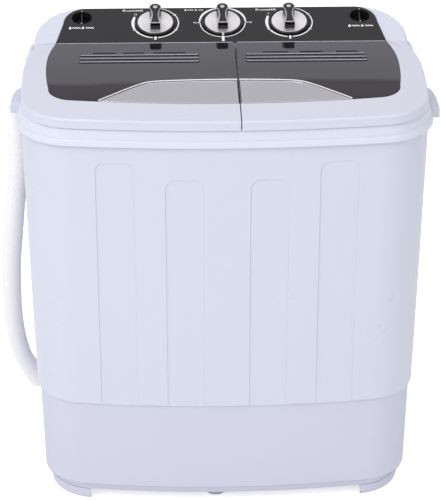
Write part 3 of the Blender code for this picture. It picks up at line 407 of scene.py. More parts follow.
def rounded(low, high, radius, steps=8, runs=(1, 1, 1, 1)):
    """Rounded rectangle, counter-clockwise from the -X -Y corner; runs divide its sides."""
    radii = radius if isinstance(radius, (list, tuple)) else [radius] * 4
    corners = [(low[0], low[1], 1, 1, 180), (high[0], low[1], -1, 1, 270),
               (high[0], high[1], -1, -1, 0), (low[0], high[1], 1, -1, 90)]
    arcs = []
    for (x, y, to_x, to_y, start), size in zip(corners, radii):
        arcs.append([(x + to_x * size + size * math.cos(math.radians(start + 90 * i / steps)),
                      y + to_y * size + size * math.sin(math.radians(start + 90 * i / steps)))
                     for i in range(steps + 1)])
    points = []
    for k, arc in enumerate(arcs):
        points += arc
        a, b = arc[-1], arcs[(k + 1) % 4][0]
        for i in range(1, runs[k]):
            t = i / runs[k]
            points.append((a[0] + (b[0] - a[0]) * t, a[1] + (b[1] - a[1]) * t))
    return points


def sheet(outlines, z_low, z_high, soft=0.0):
    """Plate with holes and rounded edges, as points and faces."""
    curve = bpy.data.curves.new("sheet", "CURVE")
    curve.dimensions = "2D"
    curve.fill_mode = "BOTH"
    curve.extrude = (z_high - z_low) / 2 - soft
    curve.bevel_depth = soft
    curve.bevel_resolution = 2
    curve.offset = -soft
    for outline in outlines:
        spline = curve.splines.new("POLY")
        spline.points.add(len(outline) - 1)
        for point, (x, y) in zip(spline.points, outline):
            point.co = (x, y, 0.0, 1.0)
        spline.use_cyclic_u = True
    return curve_faces(curve, (z_low + z_high) / 2)


def curve_faces(curve, lift=0.0):
    helper = bpy.data.objects.new("helper", curve)
    scene.collection.objects.link(helper)
    mesh = bpy.data.meshes.new_from_object(
        helper.evaluated_get(bpy.context.evaluated_depsgraph_get()))
    bpy.data.objects.remove(helper, do_unlink=True)
    bm = bmesh.new()
    bm.from_mesh(mesh)
    bmesh.ops.remove_doubles(bm, verts=bm.verts, dist=0.00001)
    points = [(v.co.x, v.co.y, v.co.z + lift) for v in bm.verts]
    faces = [[v.index for v in f.verts] for f in bm.faces]
    bm.free()
    bpy.data.meshes.remove(mesh)
    return points, faces


def catmull(nodes, steps):
    path = [Vector(node) for node in nodes]
    ends = [path[0] * 2 - path[1]] + path + [path[-1] * 2 - path[-2]]
    points = []
    for i in range(1, len(ends) - 2):
        a, b, c, d = ends[i - 1:i + 3]
        for step in range(steps):
            t = step / steps
            points.append(0.5 * ((2 * b) + (c - a) * t + (2 * a - 5 * b + 4 * c - d) * t ** 2
                                 + (3 * b - a - 3 * c + d) * t ** 3))
    points.append(path[-1])
    return points


# ---- plan outlines -----------------------------------------------------------------------------
def bowed(points, half, front, rear):
    """Bow a plan's front outwards, less and less towards the rear."""
    result = []
    for x, y in points:
        depth = (rear - y) / (rear - front)
        result.append((x, y - BOW * (1 - (x / half) ** 2) * depth))
    return result


def body_plan(d, radius=70.7 * MM):
    """Outline of the machine, inset by d."""
    half, deep = RIM_HALF - d, DEPTH_HALF - d
    points = rounded((-half, -deep), (half, deep), [radius] * 4, 14, (48, 8, 12, 8))
    return bowed(points, half, -deep, deep)


def at_z(outline, z):
    return [(x, y, z(x, y) if callable(z) else z) for x, y in outline]


# ---- plinth, feet and cabinet ------------------------------------------------------------------
BASE_D, BASE_R = 17.9 * MM, 56.5 * MM
WALL = 2.5 * MM


def build_base():
    """Plinth: a tall skirt, a lip line near the floor and a tucked-in lower band."""
    top, lip = base_high.z, 30.5 * MM
    outer = [(29.9, FOOT_H), (29.1, FOOT_H + 0.4 * MM), (28.6, FOOT_H + 1.6 * MM),
             (25.2, lip - 6.0 * MM), (23.4, lip - 3.4 * MM), (22.2, lip - 1.8 * MM),
             (21.7, lip - 1.0 * MM), (22.3, lip - 0.7 * MM), (22.3, lip + 0.1 * MM),
             (21.3, lip + 0.5 * MM), (20.9, lip + 1.6 * MM)]
    rings = [(d * MM, z) for d, z in outer]
    rings += [(20.9 * MM - 3.0 * MM * i / 8, lip + (top - lip) * i / 8) for i in range(1, 9)]
    rings += [(BASE_D + WALL, top), (20.9 * MM + WALL, lip), (29.6 * MM, FOOT_H + 3 * MM)]
    shape = Shape().loft([at_z(body_plan(d, BASE_R), z) for d, z in rings])
    shape.piece("plinth", SATIN, "washer_body", ["base"], "white_satin")


def foot_plan(side_x, side_y, d):
    """One corner of the plinth's plan, closed by two straight inner sides."""
    half, front = RIM_HALF - d, DEPTH_HALF - d
    x0, y0 = 199 * MM + (d - 29 * MM) * 0.3, 93 * MM + (d - 29 * MM) * 0.3
    arc = []
    for i in range(21):
        a = math.pi / 2 * i / 20
        arc.append((half - BASE_R * (1 - math.sin(a)), front - BASE_R * (1 - math.cos(a))))
    low_y = arc[-1][1]
    points = [(x0 + (arc[0][0] - x0) * i / 3, front) for i in range(3)] + arc
    points += [(half, low_y + (y0 - low_y) * 0.5), (half, y0), (x0 + 2 * MM, y0),
               (x0, y0 + 2 * MM)]
    points = [(x * side_x, y * side_y) for x, y in points]
    points = bowed(points, half, -front, front)
    return points if signed_area(points) > 0 else points[::-1]


def build_feet():
    """Corner feet that follow the plinth, each with a recessed tread; a rubber one in the middle."""
    for side_y, end in ((-1, "front"), (1, "rear")):
        for side_x, hand in ((-1, "left"), (1, "right")):
            top = local("foot_front_left")[1].z
            rings = [(28.9, top), (28.9, top * 0.75), (29.2, 6.0 * MM), (29.9, 2.4 * MM),
                     (30.8, 0.7 * MM), (32.2, 0.0), (36.0, 0.0), (36.6, 0.8 * MM)]
            outline = foot_plan(side_x, side_y, 28.9 * MM)
            shape = Shape().loft([at_z(inset(outline, (d - 28.9) * MM), z)
                                  for d, z in reversed(rings)])
            shape.piece("foot_pad_%s_%s" % (end, hand), SATIN, "washer_body",
                        ["foot_%s_%s" % (end, hand)], "white_satin")
    low, high = local("foot_front_center")
    radius, top = (high.x - low.x) / 2, high.z
    profile = [(0, top), (radius, top), (radius, top * 0.5), (radius * 0.97, top * 0.2),
               (radius * 0.9, 0.4 * MM), (radius * 0.84, 0), (radius * 0.6, 0),
               (radius * 0.56, 0.8 * MM), (0, 0.8 * MM)]
    at = Matrix.Translation(((low.x + high.x) / 2, (low.y + high.y) / 2, 0))
    Shape().lathe(profile, 56, 0, at).piece("foot_pad_front_center", PAD, "washer_body",
                                            ["foot_front_center"], "rubber")


CAB_LOW, CAB_HIGH = cabinet_low.z, cabinet_high.z
CAB_D = (13.8 * MM, 6.0 * MM)
RECESS_CENTRES = (-0.1520, -0.0570, 0.0590, 0.1540)
RECESS_TOPS = (0.5530, 0.5290, 0.5290, 0.5530)
PANEL_HALF = 0.0265


def cabinet_d(z):
    return CAB_D[0] + (CAB_D[1] - CAB_D[0]) * (z - CAB_LOW) / (CAB_HIGH - CAB_LOW)


def cabinet_front(x, z):
    d = cabinet_d(z)
    half = RIM_HALF - d
    return -DEPTH_HALF + d - BOW * (1 - (x / half) ** 2)


def cabinet_ring(d, z):
    """Corner radius grows with height, as the CAD's does."""
    radius = 62 * MM + 6 * MM * (z - CAB_LOW) / (CAB_HIGH - CAB_LOW)
    return at_z(body_plan(d, radius + cabinet_d(z) - d), z)


def build_cabinet():
    low, high = CAB_LOW, CAB_HIGH
    d_low = cabinet_d(low)
    rings = [(d_low + 2.0 * MM, low), (d_low + 1.1 * MM, low + 0.5 * MM),
             (d_low + 0.4 * MM, low + 1.5 * MM), (d_low, low + 3.0 * MM),
             (d_low, low + 9.6 * MM), (d_low + 0.1 * MM, low + 10.2 * MM),
             (cabinet_d(low + 11 * MM) + 0.35 * MM, low + 10.8 * MM)]
    for i in range(1, 25):
        z = low + 11 * MM + (high - low - 11 * MM) * i / 24
        rings.append((cabinet_d(z) + 0.3 * MM * max(0, 1 - i / 5), z))
    rings += [(cabinet_d(high) + WALL, high), (d_low + WALL + 1.6 * MM, low + 1 * MM)]
    shape = Shape().loft([cabinet_ring(d, z) for d, z in rings], loop=True)
    cutter = Shape()
    for x, top in zip(RECESS_CENTRES, RECESS_TOPS):
        recess_block(cutter, x, top)
    cabinet = shape.piece("cabinet_shell", WHITE, "washer_body", ["cabinet"], "white_gloss",
                          smooth=60)
    carve(cabinet, cutter, 25)


def carve(obj, cutter, smooth=35):
    """Cut a shape out of a finished piece."""
    helper = bpy.data.objects.new("cutter", cutter.mesh("cutter", [obj.data.materials[0]]))
    helper.matrix_world = obj.matrix_world
    scene.collection.objects.link(helper)
    cut = obj.modifiers.new("carve", "BOOLEAN")
    cut.solver = "EXACT"
    cut.object = helper
    obj.modifiers.move(len(obj.modifiers) - 1, 0)
    even = obj.modifiers["even_shading"]
    even.show_viewport = False
    carved = bpy.data.meshes.new_from_object(
        obj.evaluated_get(bpy.context.evaluated_depsgraph_get()))
    even.show_viewport = True
    obj.modifiers.remove(cut)
    bpy.data.objects.remove(helper, do_unlink=True)
    carved.shade_smooth()
    carved.set_sharp_from_angle(angle=math.radians(smooth))
    obj.data = carved


def recess_block(shape, centre, top):
    """What is taken out of the bowed front for one upright recess with a round-cornered top."""
    steps, rows = 10, 24
    radius = 14 * MM
    profile = [(2.4, 8.0), (0.9, 0.6), (0.55, 0.0), (0.25, -0.12), (0.05, -0.35), (0.0, -0.7),
               (-0.05, -1.05), (-0.3, -1.35), (-0.8, -1.5), (-2.0, -1.55)]

    def outline(grow):
        half, r = PANEL_HALF + grow, radius + grow
        z0 = CAB_LOW - 8 * MM
        points = [(half, z0 + (top - radius - z0) * i / rows) for i in range(rows)]
        points += [(half - r + r * math.cos(math.pi / 2 * i / steps),
                    top - radius + r * math.sin(math.pi / 2 * i / steps)) for i in range(steps + 1)]
        return points + [(-x, z) for x, z in reversed(points)]

    rings = []
    for grow, lift in profile:
        ring = []
        for x, z in outline(grow * MM):
            wx = centre + x
            slope = 2 * BOW * wx / (RIM_HALF - cabinet_d(z)) ** 2
            length = math.hypot(1, slope)
            ring.append((wx + slope / length * lift * MM,
                         cabinet_front(wx, z) - lift * MM / length, z))
        rings.append(ring)
    count = len(rings[0])
    faces = []
    for k in range(len(rings) - 1):
        for i in range(count):
            j = (i + 1) % count
            faces.append((k * count + i, k * count + j, (k + 1) * count + j, (k + 1) * count + i))
    for k, flip in ((0, True), (len(rings) - 1, False)):
        start = k * count
        for i in range(count // 2 - 1):
            face = [start + i, start + i + 1, start + count - 2 - i, start + count - 1 - i]
            faces.append(face[::-1] if flip else face)
    shape.add([p for ring in rings for p in ring], faces)


def build_rear_cover():
    """Screwed cover over the access opening, with louvre slots, and its two screws."""
    low, high = local("rear_cover")
    middle = (low + high) / 2
    lean = math.atan((CAB_D[0] - CAB_D[1]) / (CAB_HIGH - CAB_LOW))
    half_x, half_z = (high.x - low.x) / 2, (high.z - low.z) / 2
    at = BODY @ Matrix.Translation((middle.x, low.y + 0.0032, middle.z)) @ Matrix.Rotation(
        lean, 4, "X") @ Matrix.Rotation(math.pi, 4, "Z") @ Matrix.Rotation(math.pi / 2, 4, "X")
    outline = rounded((-half_x, -half_z), (half_x, half_z), 12 * MM)
    slots = []
    for column in (-1, 0, 1):
        for row in range(9):
            x, y = column * 78 * MM, (-30 + row * 11.5) * MM
            slots.append(rounded((x - 31 * MM, y - 2 * MM), (x + 31 * MM, y + 2 * MM), 1.95 * MM, 5))
    shape = Shape().add(*sheet([outline, *slots], 0.2 * MM, 2.2 * MM, 0.6 * MM))
    shape.add(*sheet([inset(outline, 9 * MM), inset(outline, 11.5 * MM)], 1.6 * MM, 3.0 * MM,
                     0.6 * MM))
    for side in (-1, 1):
        boss = rounded((side * 170 * MM - 7 * MM, -157 * MM), (side * 170 * MM + 7 * MM, -143 * MM),
                       6.9 * MM, 8)
        shape.slab(boss, 1.4 * MM, 2.8 * MM, 0.5 * MM)
    shape.piece("rear_access_cover", WHITE, "washer_body", ["rear_cover"], "white_gloss", at)
    back = Shape().slab(inset(outline, 14 * MM), -2.2 * MM, -0.4 * MM, 0.4 * MM)
    back.piece("rear_cover_backing", DARK, "washer_body", (), "rubber", at)
    for number in (1, 2):
        s_low, s_high = local("cover_screw_%d" % number)
        head_at = at.copy()
        centre = at.inverted() @ (CENTRE + (s_low + s_high) / 2)
        screw = Shape().lathe([(0, 4.4 * MM), (1.6 * MM, 4.35 * MM), (3.0 * MM, 4.0 * MM),
                               (3.9 * MM, 3.2 * MM), (4.0 * MM, 2.6 * MM), (0, 2.6 * MM)], 32)
        for turn in (0, math.pi / 2):
            screw.slab([(p[0], p[1]) for p in rotate(rounded((-2.4 * MM, -0.35 * MM),
                                                             (2.4 * MM, 0.35 * MM), 0.2 * MM, 2),
                                                     turn)], 4.1 * MM, 4.5 * MM, 0.1 * MM, 1)
        head_at = at @ Matrix.Translation((centre.x, centre.y, 0))
        screw.piece("cover_screw_head_%d" % number, [STEEL, DARK], "washer_body",
                    ["cover_screw_%d" % number], "steel", head_at)


def rotate(outline, angle):
    c, s = math.cos(angle), math.sin(angle)
    return [(x * c - y * s, x * s + y * c) for x, y in outline]


# ---- rim, wash tub and spin casing -------------------------------------------------------------
wash_centre = local("pulsator")
PULSATOR = ((wash_centre[0].x + wash_centre[1].x) / 2, (wash_centre[0].y + wash_centre[1].y) / 2)
basket_box = local("spin_basket")
SPIN = ((basket_box[0].x + basket_box[1].x) / 2, (basket_box[0].y + basket_box[1].y) / 2)
BASKET_R = (basket_box[1].x - basket_box[0].x) / 2
WASH_LOW, WASH_HIGH = (-0.2560, -0.1600), (0.0, 0.0780)
TUB_FLOOR = 0.2350
CASING_R = 0.1120


def wash_plan(grow):
    return rounded((WASH_LOW[0] - grow, WASH_LOW[1] - grow),
                   (WASH_HIGH[0] + grow, WASH_HIGH[1] + grow), max(45 * MM + grow, 20 * MM), 10,
                   (12, 12, 12, 12))


def build_tub():
    shape = Shape()
    rings = [(0.0, SKIRT_Z + 1.2 * MM), (0.05 * MM, SKIRT_Z + 6 * MM), (0.4 * MM, FLANGE_Z - 3 * MM),
             (0.6 * MM, FLANGE_Z - 1.8 * MM), (1.1 * MM, FLANGE_Z - 0.7 * MM),
             (1.9 * MM, FLANGE_Z - 0.1 * MM), (2.6 * MM, FLANGE_Z + 0.1 * MM),
             (3.1 * MM, FLANGE_Z + 0.5 * MM), (3.4 * MM, FLANGE_Z + 1.3 * MM),
             (5.6 * MM, RIM_TOP - 2.4 * MM), (6.2 * MM, RIM_TOP - 1.0 * MM),
             (7.0 * MM, RIM_TOP - 0.3 * MM), (8.0 * MM, RIM_TOP), (10.4 * MM, RIM_TOP),
             (11.4 * MM, RIM_TOP - 0.6 * MM), (11.9 * MM, RIM_TOP - 1.6 * MM),
             (12.4 * MM, DECK_Z), (12.6 * MM, DECK_Z - 2 * MM), (4.2 * MM, FLANGE_Z - 2.2 * MM),
             (2.5 * MM, SKIRT_Z + 1.2 * MM), (2.1 * MM, SKIRT_Z + 0.3 * MM), (1.5 * MM, SKIRT_Z),
             (0.9 * MM, SKIRT_Z), (0.3 * MM, SKIRT_Z + 0.4 * MM)]
    shape.loft([at_z(body_plan(d, 70.7 * MM - d * 0.5), z) for d, z in rings], loop=True)
    deck = body_plan(11.6 * MM, 64 * MM)
    shape.add(*sheet([deck, wash_plan(1.2 * MM), circle(SPIN, CASING_R + 1.2 * MM, 96)],
                     DECK_Z - 2.5 * MM, DECK_Z, 0.0))
    lip = [(6.5, 0.0), (6.2, 1.2), (5.4, 1.8), (1.6, 1.8), (0.6, 1.5), (0.1, 0.8), (0.0, -0.4)]
    wall = [(grow * MM, DECK_Z + z * MM) for grow, z in lip]
    wall += [(-8 * MM * i / 6, DECK_Z - (DECK_Z - TUB_FLOOR - 20 * MM) * i / 6)
             for i in range(1, 7)]
    wall += [(-8 * MM - 12 * MM * (1 - math.cos(math.pi / 2 * i / 6)),
              TUB_FLOOR + 20 * MM - 20 * MM * math.sin(math.pi / 2 * i / 6)) for i in range(1, 7)]
    outer = [(-16 * MM, TUB_FLOOR - 2.5 * MM), (-6.5 * MM, TUB_FLOOR + 12 * MM),
             (2.4 * MM, DECK_Z - 3 * MM), (6.2 * MM, DECK_Z - 0.4 * MM)]
    rings = [at_z(wash_plan(g), z) for g, z in reversed(wall)]
    rings += [at_z(wash_plan(g), z) for g, z in reversed(outer)]
    shape.loft(rings, 1)
    for i in range(9):
        x = WASH_LOW[0] + (50 + i * 19.5) * MM
        for y in (WASH_LOW[1] + 1.5 * MM, WASH_HIGH[1] - 1.5 * MM):
            if abs(x - PULSATOR[0]) < 48 * MM and y > 0:
                continue
            path = [(x, y * (1 - 0.03 * k / 8), DECK_Z - 30 * MM - (300 * MM) * k / 8)
                    for k in range(9)]
            shape.tube(path, lambda k: 3.2 * MM if 0 < k < 8 else 1.2 * MM, 1, sides=12)
    casing = [(CASING_R + 6 * MM, DECK_Z - 0.4 * MM), (CASING_R + 5.7 * MM, DECK_Z + 1.2 * MM),
              (CASING_R + 5 * MM, DECK_Z + 1.8 * MM), (CASING_R + 1.4 * MM, DECK_Z + 1.8 * MM),
              (CASING_R + 0.4 * MM, DECK_Z + 1.3 * MM), (CASING_R, DECK_Z + 0.2 * MM),
              (CASING_R, TUB_FLOOR + 16 * MM), (CASING_R - 4 * MM, TUB_FLOOR + 5 * MM),
              (CASING_R - 12 * MM, TUB_FLOOR), (14 * MM, TUB_FLOOR), (14 * MM, TUB_FLOOR - WALL),
              (CASING_R + WALL, TUB_FLOOR - WALL), (CASING_R + WALL, DECK_Z - 3 * MM)]
    shape.lathe(casing, 96, 1, Matrix.Translation((*SPIN, 0)), loop=True)
    # The rim and deck take the lightened white, painted light against the lid's shade.
    shape.piece("tub_molding", [RIM_PAINTED_LIGHT, TUB_LOOK], "washer_body", ["twin_tub"], "white_gloss")


def build_handles():
    """Side grips: upside-down troughs on the rim, swept at the back and open below."""
    for side, name in ((-1, "handle_left"), (1, "handle_right")):
        low, high = local(name)
        x0, x1 = (low.x, high.x) if side > 0 else (-high.x, -low.x)
        deep = x0 - 4.6 * MM
        plan = [(deep, low.y), (x1 - 1.6 * MM, low.y), (x1 - 0.5 * MM, low.y + 0.5 * MM),
                (x1, low.y + 1.6 * MM)]
        plan += [(x0 + (x1 - x0) * math.cos(math.radians(4.5 * i)),
                  high.y - 45 * MM * (1 - math.sin(math.radians(4.5 * i)))) for i in range(21)]
        plan += [(deep, high.y)]
        profile = [(3.0, -3.4), (2.6, -2.8), (2.4, -14.2), (1.7, -14.5), (0.7, -14.5),
                   (0.15, -14.2), (0.0, -13.4), (0.0, -2.2), (0.35, -1.1), (1.2, -0.3), (2.4, 0.0)]
        rings = []
        for d, z in profile:
            ring = inset(plan, d * MM)
            rings.append([(side * x, y, high.z + z * MM) for x, y in ring])
        Shape().loft(rings).piece("side_grip_" + ("left" if side < 0 else "right"), WHITE,
                                  "washer_body", [name], "white_gloss")


# ---- control panel -----------------------------------------------------------------------------
def slope_z(y):
    return HINGE_Z + (y - HINGE_Y) * math.tan(TILT)


def build_housing():
    low, high = local("control_housing")

    def ring(d, drop):
        outline = rounded((low.x + d, low.y + d), (high.x - d, high.y - d),
                          [2.5 * MM, 2.5 * MM, 70 * MM - d, 70 * MM - d], 18, (40, 4, 20, 4))
        if drop is None:
            return at_z(outline, low.z)
        return at_z(outline, lambda x, y: slope_z(y) - drop)

    r = 5.2 * MM
    rings = [ring(0.0, None)]
    for i in range(7):
        a = math.pi / 2 * i / 6
        rings.append(ring(r * (1 - math.cos(a)), 1.5 * MM + r * (1 - math.sin(a))))
    casing = Shape().loft(rings).piece("control_casing", WHITE, "washer_body",
                                       ["control_housing"], "white_gloss", smooth=50)
    wells = Shape()
    for x in INLET_X:
        at = BODY.inverted() @ PANEL @ Matrix.Translation((x, INLET_UP, 0))
        wells.lathe([(0, 20 * MM), (15.3 * MM, 20 * MM), (15.3 * MM, -18 * MM), (0, -18 * MM)], 64,
                    0, at)
    carve(casing, wells, 30)


def fascia_plan():
    low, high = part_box("control_fascia")
    half_low = (high.x - low.x) / 2
    half_high, corner = half_low - 8.5 * MM, 34 * MM
    bottom, top = 0.8 * MM, 82.1 * MM
    points = [(-half_low + 2 * half_low * i / 24, bottom) for i in range(25)]
    for side, start in ((1, 0), (-1, 90)):
        for i in range(17):
            a = math.radians(start + 90 * i / 16)
            points.append((side * (half_high - corner) + corner * 0.95 * math.cos(a),
                           top - corner + corner * math.sin(a)))
    return points


def arc_band(centre, r_in, r_out, start, end, steps=48):
    """Part of a flat ring, angles in degrees counter-clockwise from +X; widths may taper."""
    outer, inner = [], []
    for i in range(steps + 1):
        t = i / steps
        a = math.radians(start + (end - start) * t)
        ri = r_in(t) if callable(r_in) else r_in
        ro = r_out(t) if callable(r_out) else r_out
        outer.append((centre[0] + ro * math.cos(a), centre[1] + ro * math.sin(a)))
        inner.append((centre[0] + ri * math.cos(a), centre[1] + ri * math.sin(a)))
    return outer + inner[::-1]


def bar(centre, angle, r0, r1, width):
    """Short radial mark."""
    a = math.radians(angle)
    c, s = math.cos(a), math.sin(a)
    return [(centre[0] + r * c - w * s, centre[1] + r * s + w * c)
            for r, w in ((r0, -width / 2), (r1, -width / 2), (r1, width / 2), (r0, width / 2))]


INK_LOW, INK_HIGH = -0.05 * MM, 0.16 * MM


def ink(shape, outline):
    points, faces = sheet([outline], INK_LOW, INK_HIGH)
    shape.add(points, faces)


def numeral(shape, text, centre, size):
    """A dial number, as thin raised print."""
    curve = bpy.data.curves.new("numeral", "FONT")
    curve.body = text
    curve.size = size
    curve.align_x = "CENTER"
    curve.align_y = "CENTER"
    curve.extrude = (INK_HIGH - INK_LOW) / 2
    points, faces = curve_faces(curve, (INK_HIGH + INK_LOW) / 2)
    shape.add([(x + centre[0], y + centre[1], z) for x, y, z in points], faces)


def clock_mark(shape, x, y, size):
    """Timer pictogram: a ring with two hands."""
    shape.add(*sheet([circle((x, y), size, 32), circle((x, y), size * 0.66, 32)],
                     INK_LOW, INK_HIGH))
    ink(shape, bar((x, y), 90, -0.1 * size, size * 0.6, size * 0.26))
    ink(shape, bar((x, y), 0, 0, size * 0.5, size * 0.26))


def wave_mark(shape, x, y, length, height, waves=3, thick=0.6):
    """Water pictogram: one wavy stroke."""
    steps = 10 * waves
    top = [(x + length * i / steps,
            y + height * math.sin(math.tau * waves * i / steps) + thick / 2 * MM)
           for i in range(steps + 1)]
    low = [(px, py - thick * MM) for px, py in top]
    ink(shape, low + top[::-1])


def drop_mark(shape, x, y, size):
    """Water drop."""
    ink(shape, [(x, y + 2.2 * size)] + [
        (x + size * math.cos(math.radians(a)), y + size * math.sin(math.radians(a)))
        for a in range(155, 390, 15)])


def arrow_mark(shape, x, y, size):
    """Arrow pointing down into the machine."""
    ink(shape, [(x - 0.3 * size, y + size), (x - 0.3 * size, y), (x - size, y), (x, y - size),
                (x + size, y), (x + 0.3 * size, y), (x + 0.3 * size, y + size)])


def timer_print(marks, x, number):
    """Scale round a timer: a bold crescent, a thin line, ticks, a number and a heading."""
    c = (x, KNOB_UP)
    ink(marks, arc_band(c, lambda t: (34.2 - 3.4 * math.sin(math.pi * (0.12 + 0.88 * t)) ** 0.7) * MM,
                        35.2 * MM, 154, 212, 40))
    ink(marks, arc_band(c, lambda t: (32.4 + 0.6 * t) * MM, 35.0 * MM, 213, 264, 40))
    ink(marks, arc_band(c, lambda t: (33.0 + 0.6 * t) * MM, 34.9 * MM, 276, 435, 80))
    for angle in (207, 332, 33):
        ink(marks, bar(c, angle, 32.0 * MM, 36.4 * MM, 1.6 * MM))
    ink(marks, bar(c, 270, 31.6 * MM, 38.6 * MM, 3.4 * MM))
    numeral(marks, "15" if number == 0 else "5", (x - 29.7 * MM, KNOB_UP + 20.4 * MM), 5.6 * MM)
    label_y, start = KNOB_UP + 29.6 * MM, x - 49 * MM
    clock_mark(marks, start + 2.4 * MM, label_y, 2.3 * MM)
    for k in range(9):
        at_x = start + (6.6 + 2.75 * k) * MM
        ink(marks, rounded((at_x, label_y - 1.9 * MM), (at_x + 1.55 * MM, label_y + (
            0.1 + 0.22 * k) * MM), 0.3 * MM, 3))


def selector_print(marks, x):
    """Scale round the selector: a thin circle with two broader arcs and side marks."""
    c = (x, KNOB_UP)
    ink(marks, arc_band(c, 32.6 * MM, 33.9 * MM, 182, 267, 60))
    ink(marks, arc_band(c, 32.6 * MM, 33.9 * MM, 273, 358, 60))
    for start in (100, 2):
        ink(marks, arc_band(c, lambda t: 32.9 * MM, lambda t: (
            34.2 + 2.0 * math.sin(math.pi * (0.08 + 0.84 * t))) * MM, start, start + 78, 40))
    for side in (-1, 1):
        ink(marks, bar(c, 90 - 90 * side, 33.6 * MM, 37.6 * MM, 1.2 * MM))
        wave_mark(marks, x + (38.6 if side > 0 else -43.2) * MM, KNOB_UP, 4.6 * MM, 0.7 * MM, 2, 1.4)
    ink(marks, bar(c, 270, 31.0 * MM, 43.0 * MM, 3.8 * MM))
    label_y, start = KNOB_UP + 29.8 * MM, x - 56 * MM
    drop_mark(marks, start + 1.6 * MM, label_y - 0.5 * MM, 1.4 * MM)
    wave_mark(marks, start + 4.6 * MM, label_y, 9 * MM, 0.7 * MM, 3, 1.2)
    arrow_mark(marks, start + 17 * MM, label_y, 1.9 * MM)
    wave_mark(marks, start + 20.6 * MM, label_y, 7 * MM, 0.7 * MM, 2, 1.2)


def build_fascia():
    holes = [circle((x, INLET_UP), 15.0 * MM, 64) for x in INLET_X]
    shape = Shape().add(*sheet([fascia_plan(), *holes], -1.25 * MM, 0.1 * MM, 0.35 * MM))
    shape.piece("fascia_plate", BLACK, "washer_body", ["control_fascia"], "black_gloss", at=PANEL)
    marks = Shape()
    for number, x in enumerate(KNOB_X):
        if number == 1:
            selector_print(marks, x)
        else:
            timer_print(marks, x, number)
    for x in INLET_X:
        y = INLET_UP - 23.4 * MM
        drop_mark(marks, x - 16.6 * MM, y - 0.9 * MM, 2.0 * MM)
        wave_mark(marks, x - 13.4 * MM, y, 12 * MM, 1.0 * MM, 3, 2.0)
        arrow_mark(marks, x + 2.2 * MM, y, 2.8 * MM)
        wave_mark(marks, x + 6.4 * MM, y, 12 * MM, 1.0 * MM, 3, 2.0)
    marks.piece("panel_print", PRINT, "washer_body", (), "silver_trim", at=PANEL, smooth=20)


LEVER_EDGE = ((7.2, -17.4), (6.9, -13.4), (6.2, -9.8), (5.4, -5.8), (5.0, -1.6), (4.9, 2.4),
              (5.2, 6.2), (5.8, 9.4), (6.7, 12.2))
LEVER_HEAD = (19.0, 9.0)


def lever_plan(d, top=99.0):
    """Knob lever seen from above, inset by d mm: square foot, narrow waist, round head."""
    edge = [point for point in LEVER_EDGE if point[1] < top]
    right = [(x - d, y) for x, y in edge]
    right[0] = (right[0][0], edge[0][1] + d)
    head = []
    if top < 20:
        right[-1] = (right[-1][0], edge[-1][1] - d)
    else:
        head = [((LEVER_HEAD[1] - d) * math.cos(math.radians(a)),
                 LEVER_HEAD[0] + (LEVER_HEAD[1] - d) * math.sin(math.radians(a)))
                for a in range(-36, 217, 9)]
    return [(x * MM, y * MM) for x, y in right + head + [(-x, y) for x, y in reversed(right)]]


def build_knobs():
    """Black cup, silver disc lying in it, and a lever with a chrome line round its top."""
    for name, x in zip(("wash", "selector", "spin"), KNOB_X):
        at = PANEL @ Matrix.Translation((x, KNOB_UP, 0))
        knob = Shape()
        cup = [(0, 0.4), (29.5, 0.4), (29.9, 0.7), (30.0, 1.2), (29.9, 2.4), (29.4, 3.2),
               (28.6, 3.6), (27.8, 3.6), (27.2, 3.3), (26.9, 2.8), (26.6, 1.3), (0, 1.3)]
        knob.lathe([(r * MM, z * MM) for r, z in cup], 128)
        foot = [(0.0, 1.0), (0.0, 12.6), (-0.2, 13.2), (0.5, 13.6)]
        knob.loft([at_z(lever_plan(d, 8.0), z * MM) for d, z in foot])
        stalk = [(0.6, 4.4), (0.2, 4.7), (0.0, 5.3), (0.0, 13.4), (0.6, 13.8)]
        knob.loft([at_z(lever_plan(d), z * MM) for d, z in stalk])
        line = [(0.5, 13.4), (0.0, 13.8), (-0.1, 14.2), (0.0, 14.6), (0.4, 14.9), (1.1, 14.9),
                (1.5, 14.6)]
        knob.loft([at_z(lever_plan(d), z * MM) for d, z in line], 1)
        crown = [(1.3, 14.2), (1.3, 14.9), (1.6, 15.3), (2.2, 15.5)]
        knob.loft([at_z(lever_plan(d), z * MM) for d, z in crown])
        step = rounded((-6.0 * MM, -18.1 * MM), (6.0 * MM, -17.0 * MM), 0.4 * MM, 3)
        knob.slab(step, 1.2 * MM, 9.6 * MM, 0.4 * MM)
        if name == "selector":
            tick = rounded((-1.6 * MM, -30.2 * MM), (1.6 * MM, -28.2 * MM), 0.3 * MM, 3)
            knob.slab(tick, 0.6 * MM, 3.75 * MM, 0.15 * MM, 3)
        dot = [(0, 16.2), (1.7, 16.15), (2.8, 15.95), (3.4, 15.6), (3.5, 15.2), (0, 15.2)]
        knob.lathe([(r * MM, z * MM) for r, z in dot], 40, 2,
                   Matrix.Translation((0, LEVER_HEAD[0] * MM, 0)))
        knob.piece("turn_knob_" + name, [BLACK, CHROME, SILVER, PRINT], name + "_knob",
                   [name + "_knob"], "black_gloss", at)
        disc = Shape().slab(circle((0, 0), 26.2 * MM, 128), 1.5 * MM, 2.8 * MM, 0.4 * MM)
        for r in (25.3, 24.7):
            disc.lathe([((r + a) * MM, (2.7 + b) * MM) for a, b in
                        ((-0.2, 0), (-0.1, 0.16), (0.1, 0.16), (0.2, 0))], 128, loop=True)
        shown = disc.piece("knob_disc_" + name, DISC, name + "_knob", [name + "_knob_disc"],
                           "silver_trim", at)
        slot = Shape()
        slot.loft([at_z(lever_plan(-0.35, 8.0), z * MM) for z in (0.5, 4.5)])
        carve(shown, slot, 30)


